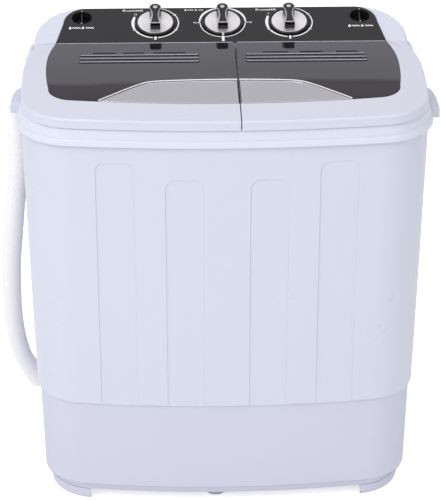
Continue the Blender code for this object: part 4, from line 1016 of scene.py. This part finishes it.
def disc_look():
    """Turned aluminium: a fine noise grain in the bump and a spun, directional sheen."""
    look = plastic("turned_aluminium", (0.74, 0.72, 0.74), (0.80, 0.78, 0.80), (0.26, 0.34),
                   300, 0.02, metal=0.7)
    look.shader.inputs["Anisotropic"].default_value = 0.75
    tangent = look.node("ShaderNodeTangent", direction_type="RADIAL", axis="Z")
    look.link(tangent.outputs["Tangent"], look.shader.inputs["Tangent"])
    return look.material


DISC = disc_look()


def build_inlets():
    """Water inlets: a lipped cup with a cross rib inside, and white specks at the rib's ends as
    painted highlights.
    """
    for name, x in zip(("wash", "spin"), INLET_X):
        at = PANEL @ Matrix.Translation((x, INLET_UP, 0))
        rim = [(14.5, -6.0), (14.7, -0.4), (14.8, 0.2), (15.1, 0.45), (15.5, 0.35), (15.6, 0.14),
               (15.0, 0.0), (15.0, -16.0)]
        shape = Shape()
        shape.lathe([(0, -14.4 * MM), (14.0 * MM, -14.4 * MM)] +
                    [(r * MM, z * MM) for r, z in rim] + [(0, -16.0 * MM)], 72)
        shape.box((-0.9 * MM, -12.4 * MM, -14.8 * MM), (0.9 * MM, 12.4 * MM, -2.0 * MM), 0.4 * MM)
        # Painted highlights: small white specks at both ends of the rib.
        for side in (-1, 1):
            shape.lathe([(0, 1.75 * MM), (0.55 * MM, 1.65 * MM), (0.8 * MM, 1.2 * MM), (0, 1.2 * MM)],
                        16, 1, Matrix.Translation((0, side * 13.9 * MM, 0)))
        shape.piece(name + "_inlet_cup", [DARK, PRINT], "washer_body", [name + "_inlet"],
                    "black_gloss", at)


# ---- lids --------------------------------------------------------------------------------------
LID_HALF, LID_WIDEST, LID_SIDES = 0.2833, -0.0150, (0.40, 1.19)
LID_FRONT, LID_CORNER = -0.1808, 0.0640
WIN_HALF, WIN_WIDEST, WIN_SIDES = 0.2505, 0.0150, (0.75, 1.60)
WIN_FRONT, WIN_BOW, WIN_CORNER = -0.1176, 0.0239, (0.0300, 0.0360)
TRIM_HALF, TRIM_BACK, TRIM_BOW = 0.1730, -0.0549, 0.45
TRIM_BEND, TRIM_SOFT, TRIM_SLOPE = 0.1095, 0.0060, 0.93
PLATE = 2.2 * MM


def abs_seam(side):
    """Seam edge of one lid, counted positive towards the lid's own side."""
    return SEAM_X * side + SEAM_GAP


def to_side(points, side):
    """Place an outline drawn for the right-hand side on either side, counter-clockwise."""
    points = [(x * side, y) for x, y in points]
    return points if signed_area(points) > 0 else points[::-1]


def side_pull(y, widest, bow):
    """How far a bowed side draws in from its widest point."""
    return bow[0 if y < widest else 1] * (y - widest) ** 2


def outer_edge(side, d=0.0):
    """Lid edge from the seam along the bowed front and up the side to the back corner."""
    half, r = LID_HALF - d, LID_CORNER - d
    x0, y0, y1 = abs_seam(side) + d, LID_FRONT + d, LID_BACK - d
    points = [(x0, y0), (x0 + 2 * MM, y0)]
    points += [(x0 + 6 * MM + (half - r - x0 - 6 * MM) * i / 30, y0) for i in range(30)]
    points += [(half - r + r * math.sin(math.pi / 2 * i / 20), y0 + r - r * math.cos(
        math.pi / 2 * i / 20)) for i in range(21)]
    points += [(half, y0 + r + (y1 - 4 * MM - y0 - r) * i / 20) for i in range(1, 21)]
    points += [(half - 0.3 * MM, y1 - 1.4 * MM), (half - 1.6 * MM, y1)]
    corner_y = LID_FRONT + LID_CORNER
    return [(x - x / LID_HALF * side_pull(max(y, corner_y), LID_WIDEST, LID_SIDES), y)
            for x, y in bowed(points, LID_HALF, LID_FRONT, LID_BACK)]


def window_front(x):
    return WIN_FRONT - WIN_BOW * (1 - (x / WIN_HALF) ** 2)


def window_edge(side, d=0.0):
    """Edge of the opening from its outer back corner round to the front and the seam."""
    back, low = LID_BACK - 0.5 * MM - d, WIN_FRONT + WIN_CORNER[1]
    points = []
    for i in range(21):
        y = back + (low - back) * i / 20
        points.append((WIN_HALF - side_pull(y, WIN_WIDEST, WIN_SIDES) - d, y))
    flat = points[-1][0] - WIN_CORNER[0]
    for i in range(1, 21):
        a = math.pi / 2 * i / 20
        x = flat + WIN_CORNER[0] * math.cos(a)
        points.append((x, window_front(x) + d + WIN_CORNER[1] * (1 - math.sin(a))))
    seam = abs_seam(side) + d
    points += [(flat + (seam - flat) * i / 34, window_front(flat + (seam - flat) * i / 34) + d)
               for i in range(1, 35)]
    return points


def half_window(side, d=0.0):
    """Outline of one smoked plate."""
    edge = window_edge(side, d)
    back = [(edge[-1][0] + (edge[0][0] - edge[-1][0]) * i / 8, LID_BACK - 0.5 * MM - d)
            for i in range(8)]
    return to_side(edge + back, side)


def border_plan(side):
    """White L-shaped border of a lid and, for each of its edges, how soft that edge is."""
    outer, inner = outer_edge(side), window_edge(side)
    back = [(outer[-1][0] + (inner[0][0] - outer[-1][0]) * i / 3, LID_BACK) for i in (1, 2)]
    seam = [(inner[-1][0], inner[-1][1] + (outer[0][1] - inner[-1][1]) * i / 6)
            for i in range(1, 6)]
    points = outer + back + [(inner[0][0], LID_BACK)] + inner + seam
    soft = [1.0] * (len(outer) - 1) + [0.35] * 3 + [0.22] * len(inner) + [0.3] * 6
    soft[0], soft[1] = 0.5, 0.8
    return points, soft[:len(points)]


def vents(side):
    """Louvre slots in a smoked plate near its hinge: short ones behind, long ones in front."""
    long_x = (0.2047, 0.0330) if side < 0 else (0.2066, 0.0330)
    slots = []
    spans = ((186, 152), (143, 112), (98, 52)) if side < 0 else ((58, 96), (112, 146), (164, 196))
    for a, b in spans:
        a, b = sorted((side * a * MM, side * b * MM))
        slots.append(rounded((a, 50 * MM), (b, 53.4 * MM), 1.6 * MM, 5))
    return slots, long_x


def build_lid(name, side):
    body = name + "_lid"
    low_z, top_z = LID_Z
    outline, soft = border_plan(side)
    profile = [(3.0, -2.6), (0.9, -2.7), (0.5, -5.2), (0.0, -4.7), (0.0, -3.9), (0.13, -2.7),
               (0.5, -1.6), (1.1, -0.75), (1.9, -0.25), (2.9, -0.04), (4.6, 0.0)]
    rings = []
    for number, (d, z) in enumerate(profile):
        ring = inset_edges(outline, [d * MM * w for w in soft])
        if number < 5:
            depth = [z if max(soft[i - 1], w) > 0.45 else -2.6 + 0.03 * number
                     for i, w in enumerate(soft)]
        else:
            depth = [z * min(soft[i - 1], w) for i, w in enumerate(soft)]
        rings.append([(side * x, y, top_z + dz * MM) for (x, y), dz in zip(ring, depth)])
    shape = Shape().loft(rings)
    wall = [[(abs_seam(side) + d, LID_BACK - d)] + outer_edge(side, d)
            for d in (0.2 * MM, 2.6 * MM)]
    shape.slab(to_side(wall[0] + wall[1][::-1], side), low_z, top_z - 3.6 * MM, 0.3 * MM)
    low, high = local("hinge_bracket_" + ("left" if side < 0 else "right"))
    gate = sorted((side * low.x - 0.6 * MM, side * high.x + 0.6 * MM))
    gate = (gate[0] - 1.2 * MM, gate[1] + 1.2 * MM)      # left open for the hinge bracket
    for start, end in ((abs_seam(side) + 8 * MM, gate[0]), (gate[1], wall[0][-1][0] - 1 * MM)):
        x0, x1 = sorted((side * start, side * end))
        shape.box((x0, LID_BACK - 2.6 * MM, low_z), (x1, LID_BACK - 0.2 * MM, top_z - 2.2 * MM),
                  0.3 * MM)
    for x in (SEAM_X + side * 13 * MM, side * 227 * MM):
        shape.box((x - 1.6 * MM, LID_BACK - 11 * MM, low_z + 3 * MM),
                  (x + 1.6 * MM, LID_BACK - 2 * MM, top_z - 3.4 * MM), 0.6 * MM)
    shape.piece(body + "_frame", WHITE, body, [body], "white_gloss", smooth=45)
    build_plate(name, side)


def build_plate(name, side):
    body = name + "_lid"
    top_z = LID_Z[1]
    slots, (out_x, in_x) = vents(side)
    outline = half_window(side, 0.35 * MM)
    plate = Shape().add(*sheet([outline, *slots], top_z - PLATE, top_z - 0.05 * MM, 0.45 * MM))
    a, b = sorted((side * out_x, side * in_x))
    for y in (39.5 * MM, 26.5 * MM, 13.5 * MM):
        cross = [(0.0, -0.4), (0.0, 0.5), (0.35, 0.95), (0.9, 1.15), (1.8, 1.05), (5.2, 0.1),
                 (5.4, -0.4)]
        rings = []
        for x, scale in ((a, 0.2), (a + 1.2 * MM, 0.85), (a + 2.4 * MM, 1.0), (b - 2.4 * MM, 1.0),
                         (b - 1.2 * MM, 0.85), (b, 0.2)):
            rings.append([(x, y + cy * MM, top_z + cz * MM * (scale if cz > 0 else 1))
                          for cy, cz in cross])
        plate.loft(rings)
        # Painted highlight: a light tube along each rib's crest.
        plate.tube([(a + 1.6 * MM, y + 1.5 * MM, top_z + 0.75 * MM),
                    (b - 1.6 * MM, y + 1.5 * MM, top_z + 0.85 * MM)], 0.7 * MM, 1, sides=12)
    # Painted highlight: a light tube along the plate's back edge.
    back = [(x * side, LID_BACK - 1.6 * MM, top_z)
            for x in (abs_seam(side) + 3 * MM, WIN_HALF - 12 * MM)]
    plate.tube(back, 0.5 * MM, 1, sides=12)
    plate.piece(body + "_smoked_plate", [SMOKED, CREST_HIGHLIGHT], body, [name + "_window"], "smoked_clear",
                smooth=40)
    # Painted shade: a dark box under the vent slots so they read dark.
    under = Shape()
    a, b = min(s[0] for slot in slots for s in slot), max(s[0] for slot in slots for s in slot)
    under.box((a - 3 * MM, 47 * MM, top_z - PLATE - 3 * MM), (b + 3 * MM, 56 * MM,
              top_z - PLATE - 0.6 * MM), 0.6 * MM)
    under.piece(body + "_vent_shade_box", DARK, body, (), "rubber")
    build_trim(name, side)


def trim_back(x):
    """Back edge of the silver inset: a flat bow that bends down to the opening's front edge."""
    bend = math.exp((abs(x) - TRIM_BEND) * TRIM_SLOPE / TRIM_SOFT)
    return TRIM_BACK - TRIM_BOW * x * x - TRIM_SOFT * math.log(1 + bend)


def trim_arc(side, d=0.0):
    """The inset's back edge from its blunt outer end to the seam."""
    half, seam = TRIM_HALF - d, abs_seam(side) + 0.9 * MM + d
    return [(half + (seam - half) * i / 60, trim_back(half + (seam - half) * i / 60) - 1.4 * d)
            for i in range(61)]


def build_trim(name, side):
    """Silver half-moon; along its back edge a white tube as a painted highlight, a dark tube as a
    painted shadow line and a chrome bead.
    """
    body = name + "_lid"
    top_z = LID_Z[1]
    arc = trim_arc(side, 0.5 * MM)
    front = [(arc[-1][0] + (arc[0][0] - arc[-1][0]) * i / 30) for i in range(31)]
    outline = to_side(arc + [(x, window_front(x) + 1.3 * MM) for x in front], side)
    shape = Shape().slab(outline, top_z - 1.2 * MM, top_z + 0.2 * MM, 0.3 * MM)
    # Painted highlight (white tube at the edge) and painted shadow line (dark tube just inside it),
    # then a chrome bead.
    for d, lift, radius, look in ((-0.2, 0.30, 1.0, 3), (2.2, 0.10, 0.75, 2), (3.9, 0.15, 0.5, 1)):
        shape.tube([(side * x, y, top_z + lift * MM) for x, y in trim_arc(side, d * MM)],
                   radius * MM, look, sides=12)
    lip = [(side * x, window_front(x) + 0.9 * MM, top_z + 0.1 * MM) for x in front]
    shape.tube(lip, 0.42 * MM, 1, sides=12)
    shape.piece(body + "_silver_inset", [SILVER, CHROME, DARK, PRINT], body, [name + "_lid_trim"],
                "silver_trim", smooth=40)


# ---- drain hose --------------------------------------------------------------------------------
def build_hose():
    """Corrugated hose from the spigot up to its collar and smooth neck beside the left grip."""
    low, high = local("hose_outlet")
    joint = next(j for j in frame["joints"] if j["name"] == "drain_hose_swing")
    pivot = Vector(joint["pos_m"]) - CENTRE
    cuff_low, cuff_high = local("hose_cuff")
    top = (cuff_low + cuff_high) / 2
    nodes = [pivot, (-0.2990, 0.0920, 0.0790), (-0.3122, 0.0850, 0.1130),
             (-0.3200, 0.0720, 0.1800), (-0.3178, 0.0520, 0.2730), (-0.3105, 0.0350, 0.3450),
             (-0.3040, 0.0190, 0.4030), (-0.2985, 0.0060, 0.4500), (-0.2960, 0.0005, 0.4840),
             (top.x, top.y, cuff_low.z + 2 * MM)]
    path = catmull(nodes, 30)
    lengths = [0.0]
    for a, b in zip(path, path[1:]):
        lengths.append(lengths[-1] + (b - a).length)
    pitch, per = 3.1 * MM, 6
    count = int(lengths[-1] / pitch) * per
    even = []
    k = 0
    for i in range(count + 1):
        want = lengths[-1] * i / count
        while k < len(lengths) - 2 and lengths[k + 1] < want:
            k += 1
        t = (want - lengths[k]) / (lengths[k + 1] - lengths[k])
        even.append(path[k].lerp(path[k + 1], t))

    def radius(i):
        phase = (i % per) / per
        return 14.5 * MM - 0.75 * MM * (0.5 - 0.5 * math.cos(math.tau * phase)) ** 1.5

    hose = Shape().tube(even, radius, sides=40)
    hose.piece("corrugated_hose", HOSE_LOOK, "drain_hose", ["drain_hose"], "hose_plastic",
               smooth=80)
    height = (cuff_high.z - cuff_low.z) / MM
    cuff = [(0, height), (11.4, height), (12.0, height - 0.8), (12.2, height - 2),
            (12.4, 25.0), (12.8, 23.2), (14.4, 22.0), (14.9, 21.0), (15.0, 19.0), (15.0, 2.0),
            (14.7, 0.6), (13.8, 0.0), (0, 0)]
    at = BODY @ Matrix.Translation((top.x, top.y, cuff_low.z))
    Shape().lathe([(r * MM, z * MM) for r, z in cuff], 64).piece(
        "hose_collar", HOSE_LOOK, "drain_hose", ["hose_cuff"], "hose_plastic", at, 40)
    spigot = [(9.0, 0.0), (14.0, 0.0), (14.6, 0.6), (14.6, 5.0), (13.0, 6.0), (13.0, 29.0),
              (9.0, 29.0)]
    at = BODY @ Matrix.Translation((low.x, (low.y + high.y) / 2, (low.z + high.z) / 2)) \
        @ Matrix.Rotation(math.pi / 2, 4, "Y")
    Shape().lathe([(r * MM, z * MM) for r, z in spigot], 48, loop=True).piece(
        "hose_spigot", SATIN, "washer_body", ["hose_outlet"], "white_satin", at)


# ---- insides -----------------------------------------------------------------------------------
def build_pulsator():
    """Dished pulsator with four swept vanes."""
    at = BODY @ Matrix.Translation((*PULSATOR, 0))
    z = local("pulsator")[0].z
    profile = [(6.4, 15.4), (8.4, 15.4), (8.6, 22.0), (10, 23.6), (14, 24.8), (20, 22.5),
               (30, 17.0), (45, 13.2), (60, 10.4), (76, 6.8), (84, 4.4), (87.4, 3.0), (88, 1.6),
               (87.6, 0.2), (80, 0.0), (6.4, 0.0)]
    shape = Shape().lathe([(r * MM, z + h * MM) for r, h in profile], 96, loop=True)
    for k in range(4):
        rings = []
        for i in range(13):
            t = i / 12
            r = (15 + 62 * t) * MM
            a = math.tau * k / 4 + math.pi / 4 + 0.35 * (t - 0.5)
            top = z + (25.5 - 15.5 * t + 1.5 * math.sin(math.pi * t)) * MM
            width = (4.6 - 1.2 * t) * MM * (1 if 0 < i < 12 else 0.55)
            c, s = math.cos(a), math.sin(a)
            drop = 1.0 if 0 < i < 12 else 0.75
            section = [(-width * 1.5, z + 3 * MM), (width * 1.5, z + 3 * MM),
                       (width, z + (top - z) * 0.72 * drop), (width * 0.45, z + (top - z) * drop),
                       (-width * 0.45, z + (top - z) * drop), (-width, z + (top - z) * 0.72 * drop)]
            rings.append([(r * c - w * s, r * s + w * c, h) for w, h in section])
        shape.loft(rings)
    shape.piece("pulsator_wheel", SATIN, "pulsator", ["pulsator"], "white_satin", at, 40)


def perforated_wall(shape, radius, thickness, z_low, z_high, around, rows, hole):
    """Cylinder wall with a grid of round holes right through it."""
    points, faces, index = [], [], {}

    def vert(a, z, r):
        key = (round(a % 1.0, 6), round(z, 6), round(r, 6))
        if key not in index:
            index[key] = len(points)
            points.append((r * math.cos(math.tau * a), r * math.sin(math.tau * a), z))
        return index[key]

    step_a, step_z = 1 / around, (z_high - z_low) / rows
    da = hole / (math.tau * radius)
    for r, inner in ((radius, False), (radius - thickness, True)):
        for i in range(around):
            for j in range(rows):
                a0, z0 = i * step_a, z_low + j * step_z
                am, zm = a0 + step_a / 2, z0 + step_z / 2
                rim = []
                for k in range(8):
                    t = math.tau * (k + 0.5) / 8
                    rim.append((am + da * math.cos(t), zm + hole * math.sin(t)))
                ring = [vert(a, z, r) for a, z in rim]
                square = [vert(a0 + step_a, z0 + step_z, r), vert(am, z0 + step_z, r),
                          vert(a0, z0 + step_z, r), vert(a0, zm, r), vert(a0, z0, r),
                          vert(am, z0, r), vert(a0 + step_a, z0, r), vert(a0 + step_a, zm, r)]
                order = [0, 1, 2, 3, 4, 5, 6, 7]
                for k in order:
                    n = (k + 1) % 8
                    face = (ring[k], ring[n], square[n], square[k])
                    faces.append(face)
                if inner:
                    other = [vert(a, z, radius) for a, z in rim]
                    for k in range(8):
                        n = (k + 1) % 8
                        faces.append((ring[k], other[k], other[n], ring[n]))
    for z in (z_low, z_high):
        for i in range(around * 2):
            a, b = i * step_a / 2, (i + 1) * step_a / 2
            faces.append((vert(a, z, radius), vert(b, z, radius),
                          vert(b, z, radius - thickness), vert(a, z, radius - thickness)))
    shape.add(points, faces)


def build_basket():
    low, high = basket_box
    wall = 1.8 * MM
    at = BODY @ Matrix.Translation((*SPIN, 0))
    z0, z1 = low.z + 14 * MM, high.z - 8 * MM
    shape = Shape()
    perforated_wall(shape, BASKET_R, wall, z0, z1, 40, 15, 2.6 * MM)
    top = [(0.0, -8.0), (0.0, -1.2), (0.5, -0.3), (1.4, 0.0), (4.6, 0.0), (5.6, -0.5), (6.0, -1.4),
           (5.6, -2.6), (2.6, -5.0), (1.8, -8.0)]
    shape.lathe([(BASKET_R - d * MM, high.z + z * MM) for d, z in top], 80, loop=True)
    floor = [(BASKET_R, z0), (BASKET_R, low.z + 11 * MM), (BASKET_R - 3 * MM, low.z + 5 * MM),
             (BASKET_R - 11 * MM, low.z), (6.3 * MM, low.z), (6.3 * MM, low.z + 24 * MM),
             (13 * MM, low.z + 24 * MM), (17 * MM, low.z + 21 * MM), (20 * MM, low.z + 6 * MM),
             (26 * MM, low.z + wall), (BASKET_R - 13 * MM, low.z + wall),
             (BASKET_R - 5 * MM, low.z + 7 * MM), (BASKET_R - wall, z0)]
    shape.lathe(floor, 80, loop=True)
    shape.piece("perforated_basket", SATIN, "spin_basket", ["spin_basket"], "white_satin", at, 40)


def build_inner_cover():
    """Loose cover inside the basket: a plate with slots, a rim and a finger knob."""
    low, high = local("spin_inner_cover")
    radius = (high.x - low.x) / 2
    centre = ((low.x + high.x) / 2, (low.y + high.y) / 2)
    at = BODY @ Matrix.Translation((*centre, 0))
    shape = Shape()
    slots = []
    for k in range(10):
        a = math.tau * k / 10
        slots.append(rotate(rounded((34 * MM, -2.6 * MM), (70 * MM, 2.6 * MM), 2.5 * MM, 6), a))
    shape.add(*sheet([circle((0, 0), radius - 1.0 * MM, 96), *slots], low.z, low.z + 3 * MM,
                     0.6 * MM))
    rim = [(0.0, 0.6), (0.0, 7.0), (0.6, 7.8), (1.6, 8.0), (2.4, 7.6), (3.0, 6.4), (3.2, 1.0),
           (2.6, 0.2), (0.6, 0.1)]
    shape.lathe([(radius - d * MM, low.z + z * MM) for d, z in rim], 96, loop=True)
    knob = [(0, 12), (14, 12), (17, 11.2), (18, 9.8), (17.4, 8.6), (16, 7), (17.5, 4.5), (21, 2.6),
            (21, 1.0), (0, 1.0)]
    shape.lathe([(r * MM, low.z + z * MM) for r, z in knob], 64)
    shape.piece("spin_press_cover", TUB_LOOK, "spin_inner_cover", ["spin_inner_cover"],
                "white_satin", at, 40)


def build_lint_filter():
    """Filter cassette: a frame with cross ribs over a grey net."""
    low, high = local("lint_filter")
    width, height = high.x - low.x, high.z - low.z
    at = BODY @ Matrix.Translation(((low.x + high.x) / 2, low.y, (low.z + high.z) / 2)) \
        @ Matrix.Rotation(math.pi / 2, 4, "X")
    depth = high.y - low.y
    outline = rounded((-width / 2, -height / 2), (width / 2, height / 2), 8 * MM, 8)
    windows = []
    for i in range(2):
        for j in range(4):
            x0 = (-33 + 34.5 * i) * MM
            z0 = (-58 + 28 * j) * MM
            windows.append(rounded((x0, z0), (x0 + 31.5 * MM, z0 + 25 * MM), 2.5 * MM, 5))
    shape = Shape().add(*sheet([outline, *windows], -3.5 * MM, 0.0, 0.8 * MM))
    shape.slab(inset(outline, 2.5 * MM), -depth + 0.2 * MM, -depth + 3 * MM, 0.6 * MM)
    shape.slab(inset(outline, 1.2 * MM), -depth + 2 * MM, -3.2 * MM, 0.2 * MM, 1)
    shape.box((-12 * MM, height / 2 - 9 * MM, -1 * MM), (12 * MM, height / 2 - 4 * MM, 1.0 * MM),
              0.8 * MM)
    shape.piece("lint_cassette", [SATIN, NET], "lint_filter", ["lint_filter"], "white_satin", at)


def net_look():
    """Fine grey net: two crossed wave patterns as colour and bump."""
    look = Look("filter_net")
    waves = []
    for direction in ("X", "Y"):
        wave = look.node("ShaderNodeTexWave", bands_direction=direction)
        wave.inputs["Scale"].default_value = 190
        look.link(look.coords.outputs["Object"], wave.inputs["Vector"])
        waves.append(wave.outputs["Fac"])
    both = look.node("ShaderNodeMath", operation="MAXIMUM")
    look.link(waves[0], both.inputs[0])
    look.link(waves[1], both.inputs[1])
    look.link(look.ramp(both.outputs[0], (0.05, 0.05, 0.06), (0.34, 0.35, 0.38)),
              look.shader.inputs["Base Color"])
    look.shader.inputs["Roughness"].default_value = 0.6
    look.bump(both.outputs[0], 0.5, 0.0006)
    return look.material


NET = net_look()


def build_cord():
    """Mains lead in a flat hank on the plinth's back wall, with its tie and plug."""
    high = local("power_cord")[1]
    p_low, p_high = local("mains_plug")
    radius = 3.1 * MM
    back = high.y - 8 * MM - radius
    middle = (0.1100, 0.1050)
    points = [(0.1900, 0.1500, 0.0600), (0.1900, back - 3 * MM, 0.0600), (0.1870, back, 0.0590)]
    for i in range(97):
        a = math.radians(-30) + math.tau * 2 * i / 96
        points.append((middle[0] + 50 * MM * math.cos(a), back + 8 * MM * i / 96,
                       middle[1] + 50 * MM * math.sin(a)))
    points += [(0.1480, back + 8 * MM, 0.0720), (0.1300, back + 8 * MM, 0.0600),
               (0.0900, back + 8 * MM, 0.0520), (0.0600, back + 8 * MM, 0.0500)]
    shape = Shape().tube(catmull(points, 3), radius, sides=14)
    tie_at = Matrix.Translation((middle[0] - 50 * MM, back + 3.5 * MM, middle[1]))
    shape.box((-6.5 * MM, -8.5 * MM, -3 * MM), (6.5 * MM, 8.0 * MM, 3 * MM), 1.2 * MM, 1, tie_at)
    shape.lathe([(3.2 * MM, 0), (6.2 * MM, 0), (5.4 * MM, 5 * MM), (3.2 * MM, 6 * MM)], 28, 1,
                Matrix.Translation((0.19, 0.1646, 0.06)) @ Matrix.Rotation(-math.pi / 2, 4, "X"),
                loop=True)
    shape.piece("mains_lead", [RUBBER, DARK], "washer_body", ["power_cord"], "rubber")
    plug = Shape()
    c_y, c_z = (p_low.y + p_high.y) / 2, (p_low.z + p_high.z) / 2
    rings = []
    for x, w, h in ((p_high.x, 3.2, 3.2), (p_high.x - 1 * MM, 4.4, 4.4),
                    (p_high.x - 8 * MM, 5.0, 5.4), (p_high.x - 14 * MM, 6.2, 9.0),
                    (p_high.x - 20 * MM, 6.9, 11.8), (p_low.x + 3 * MM, 6.9, 11.8),
                    (p_low.x + 0.6 * MM, 6.6, 11.4), (p_low.x, 5.8, 10.6)):
        outline = rounded((-w * MM, -h * MM), (w * MM, h * MM), min(w, h) * 0.55 * MM, 6)
        rings.append([(x, c_y + a, c_z + b) for a, b in outline])
    plug.loft(rings)
    for side in (-1, 1):
        plug.box((p_low.x - 15 * MM, c_y - 0.9 * MM, c_z + side * 6.3 * MM - 3.1 * MM),
                 (p_low.x + 1 * MM, c_y + 0.9 * MM, c_z + side * 6.3 * MM + 3.1 * MM), 0.3 * MM, 1)
    plug.piece("cord_plug", [RUBBER, STEEL], "washer_body", ["mains_plug"], "rubber")


# ---- finishes for the CAD nodes that stay as they are ------------------------------------------
def dress_cad():
    looks = {"steel": STEEL, "cast_metal": CAST, "rubber": RUBBER, "white_satin": SATIN,
             "white_gloss": WHITE, "black_gloss": BLACK}
    kept = {"wash_shaft": "steel", "spin_shaft": "steel", "wash_lid_pin": "steel",
            "spin_lid_pin": "steel", "pulsator_screw": "steel", "driven_pulley": "cast_metal",
            "motor_pulley": "steel", "bearing_housing": "cast_metal", "wash_motor": "cast_metal",
            "spin_motor": "cast_metal", "brake_drum": "steel", "brake_lever": "steel",
            "drive_belt": "rubber", "wash_shaft_seal": "rubber", "valve_plunger": "rubber",
            "hinge_bracket_left": "white_satin", "hinge_bracket_center": "white_satin",
            "hinge_bracket_right": "white_satin", "wash_timer": "white_satin",
            "spin_timer": "white_satin", "drain_selector": "white_satin",
            "drain_valve": "white_satin"}
    for node, look in kept.items():
        obj = frame["nodes"][node]
        obj.data.materials.clear()
        obj.data.materials.append(looks[look])


# ---- assemble ----------------------------------------------------------------------------------
build_base()
build_feet()
build_cabinet()
build_rear_cover()
build_tub()
build_handles()
build_housing()
build_fascia()
build_knobs()
build_inlets()
build_lid("wash", -1)
build_lid("spin", 1)
build_hose()
build_pulsator()
build_basket()
build_inner_cover()
build_lint_filter()
build_cord()
dress_cad()


# ---- stage, light and camera -------------------------------------------------------------------
def build_stage():
    look = Look("stage_floor")
    tint = look.ramp(look.noise(1.5), (0.90, 0.90, 0.905), (0.92, 0.92, 0.925))
    look.link(tint, look.shader.inputs["Base Color"])
    look.link(tint, look.shader.inputs["Emission Color"])
    camera_only = look.node("ShaderNodeMapRange")
    camera_only.inputs["To Min"].default_value = 0.08
    camera_only.inputs["To Max"].default_value = 0.60
    look.link(look.node("ShaderNodeLightPath").outputs["Is Camera Ray"],
              camera_only.inputs["Value"])
    look.link(camera_only.outputs["Result"], look.shader.inputs["Emission Strength"])
    look.shader.inputs["Roughness"].default_value = 0.9
    look.shader.inputs["Specular IOR Level"].default_value = 0.1
    mesh = bpy.data.meshes.new("stage_floor")
    size = 12.0
    mesh.from_pydata([(-size, -size, 0), (size, -size, 0), (size, size, 0), (-size, size, 0)], [],
                     [(0, 1, 2, 3)])
    mesh.materials.append(look.material)
    floor = bpy.data.objects.new("stage_floor", mesh)
    floor.location.z = -0.2 * MM
    scene.collection.objects.link(floor)


def area_light(name, location, target, size, power):
    data = bpy.data.lights.new(name, "AREA")
    data.shape = "RECTANGLE"
    data.size, data.size_y = size
    data.energy = power
    obj = bpy.data.objects.new(name, data)
    obj.location = location
    obj.rotation_euler = (Vector(target) - Vector(location)).to_track_quat("-Z", "Y").to_euler()
    scene.collection.objects.link(obj)


def build_light():
    """White studio: an even surround with a darker band above the backdrop, and softboxes."""
    world = bpy.data.worlds.new("studio")
    world.use_nodes = True
    scene.world = world
    tree = world.node_tree
    background = tree.nodes["Background"]
    coords = tree.nodes.new("ShaderNodeTexCoord")
    split = tree.nodes.new("ShaderNodeSeparateXYZ")
    tree.links.new(coords.outputs["Generated"], split.inputs[0])
    ramp = tree.nodes.new("ShaderNodeValToRGB")
    tree.links.new(split.outputs["Z"], ramp.inputs["Fac"])
    stops = [(0.0, (0.92, 0.92, 0.94)), (0.36, (0.95, 0.95, 0.99)), (0.375, (0.95, 0.95, 0.99)),
             (0.39, (0.52, 0.47, 0.48)), (0.60, (0.56, 0.53, 0.54)), (0.75, (0.86, 0.87, 0.90)),
             (1.0, (1.0, 1.0, 1.02))]
    elements = ramp.color_ramp.elements
    while len(elements) > 1:
        elements.remove(elements[0])
    for number, (place, colour) in enumerate(stops):
        stop = elements[0] if number == 0 else elements.new(place)
        stop.position = place
        stop.color = (*colour, 1)
    front = tree.nodes.new("ShaderNodeMapRange")
    front.inputs["From Min"].default_value = -0.15
    front.inputs["From Max"].default_value = 0.25
    tree.links.new(split.outputs["Y"], front.inputs["Value"])
    side = tree.nodes.new("ShaderNodeMapRange")
    side.inputs["From Min"].default_value = -1.0
    side.inputs["From Max"].default_value = 1.0
    side.inputs["To Min"].default_value = 0.98
    side.inputs["To Max"].default_value = 0.72
    tree.links.new(split.outputs["X"], side.inputs["Value"])
    mix = tree.nodes.new("ShaderNodeMix")
    mix.data_type = "RGBA"
    tree.links.new(front.outputs["Result"], mix.inputs["Factor"])
    mix.inputs[6].default_value = (0.98, 0.98, 1.0, 1)
    tree.links.new(ramp.outputs["Color"], mix.inputs[7])
    tree.links.new(mix.outputs[2], background.inputs["Color"])
    tree.links.new(side.outputs["Result"], background.inputs["Strength"])
    area_light("key", (-1.6, -2.2, 2.6), (0, 0, 0.3), (1.6, 1.6), 34)
    area_light("fill", (1.8, -2.4, 1.4), (0, 0, 0.35), (1.2, 1.6), 6)
    area_light("top", (0.0, 0.1, 2.6), (0, 0, 0.3), (1.8, 1.2), 9)


LENS_MM = 151.75
EYE = Vector((-0.0741, -2.7934, 1.7106))             # from the body's centre
LOOK_AT = Vector((-0.0036, 0.0, 0.3251))


def build_camera():
    """Long lens, a little above the machine and slightly left of its middle."""
    data = bpy.data.cameras.new("camera")
    data.sensor_width = 36.0
    data.lens = LENS_MM
    camera = bpy.data.objects.new("camera", data)
    camera.location = CENTRE + EYE
    target = CENTRE + LOOK_AT
    camera.rotation_euler = (target - camera.location).to_track_quat("-Z", "Y").to_euler()
    scene.collection.objects.link(camera)
    scene.camera = camera


build_stage()
build_light()
build_camera()
scene.view_settings.view_transform = "Standard"
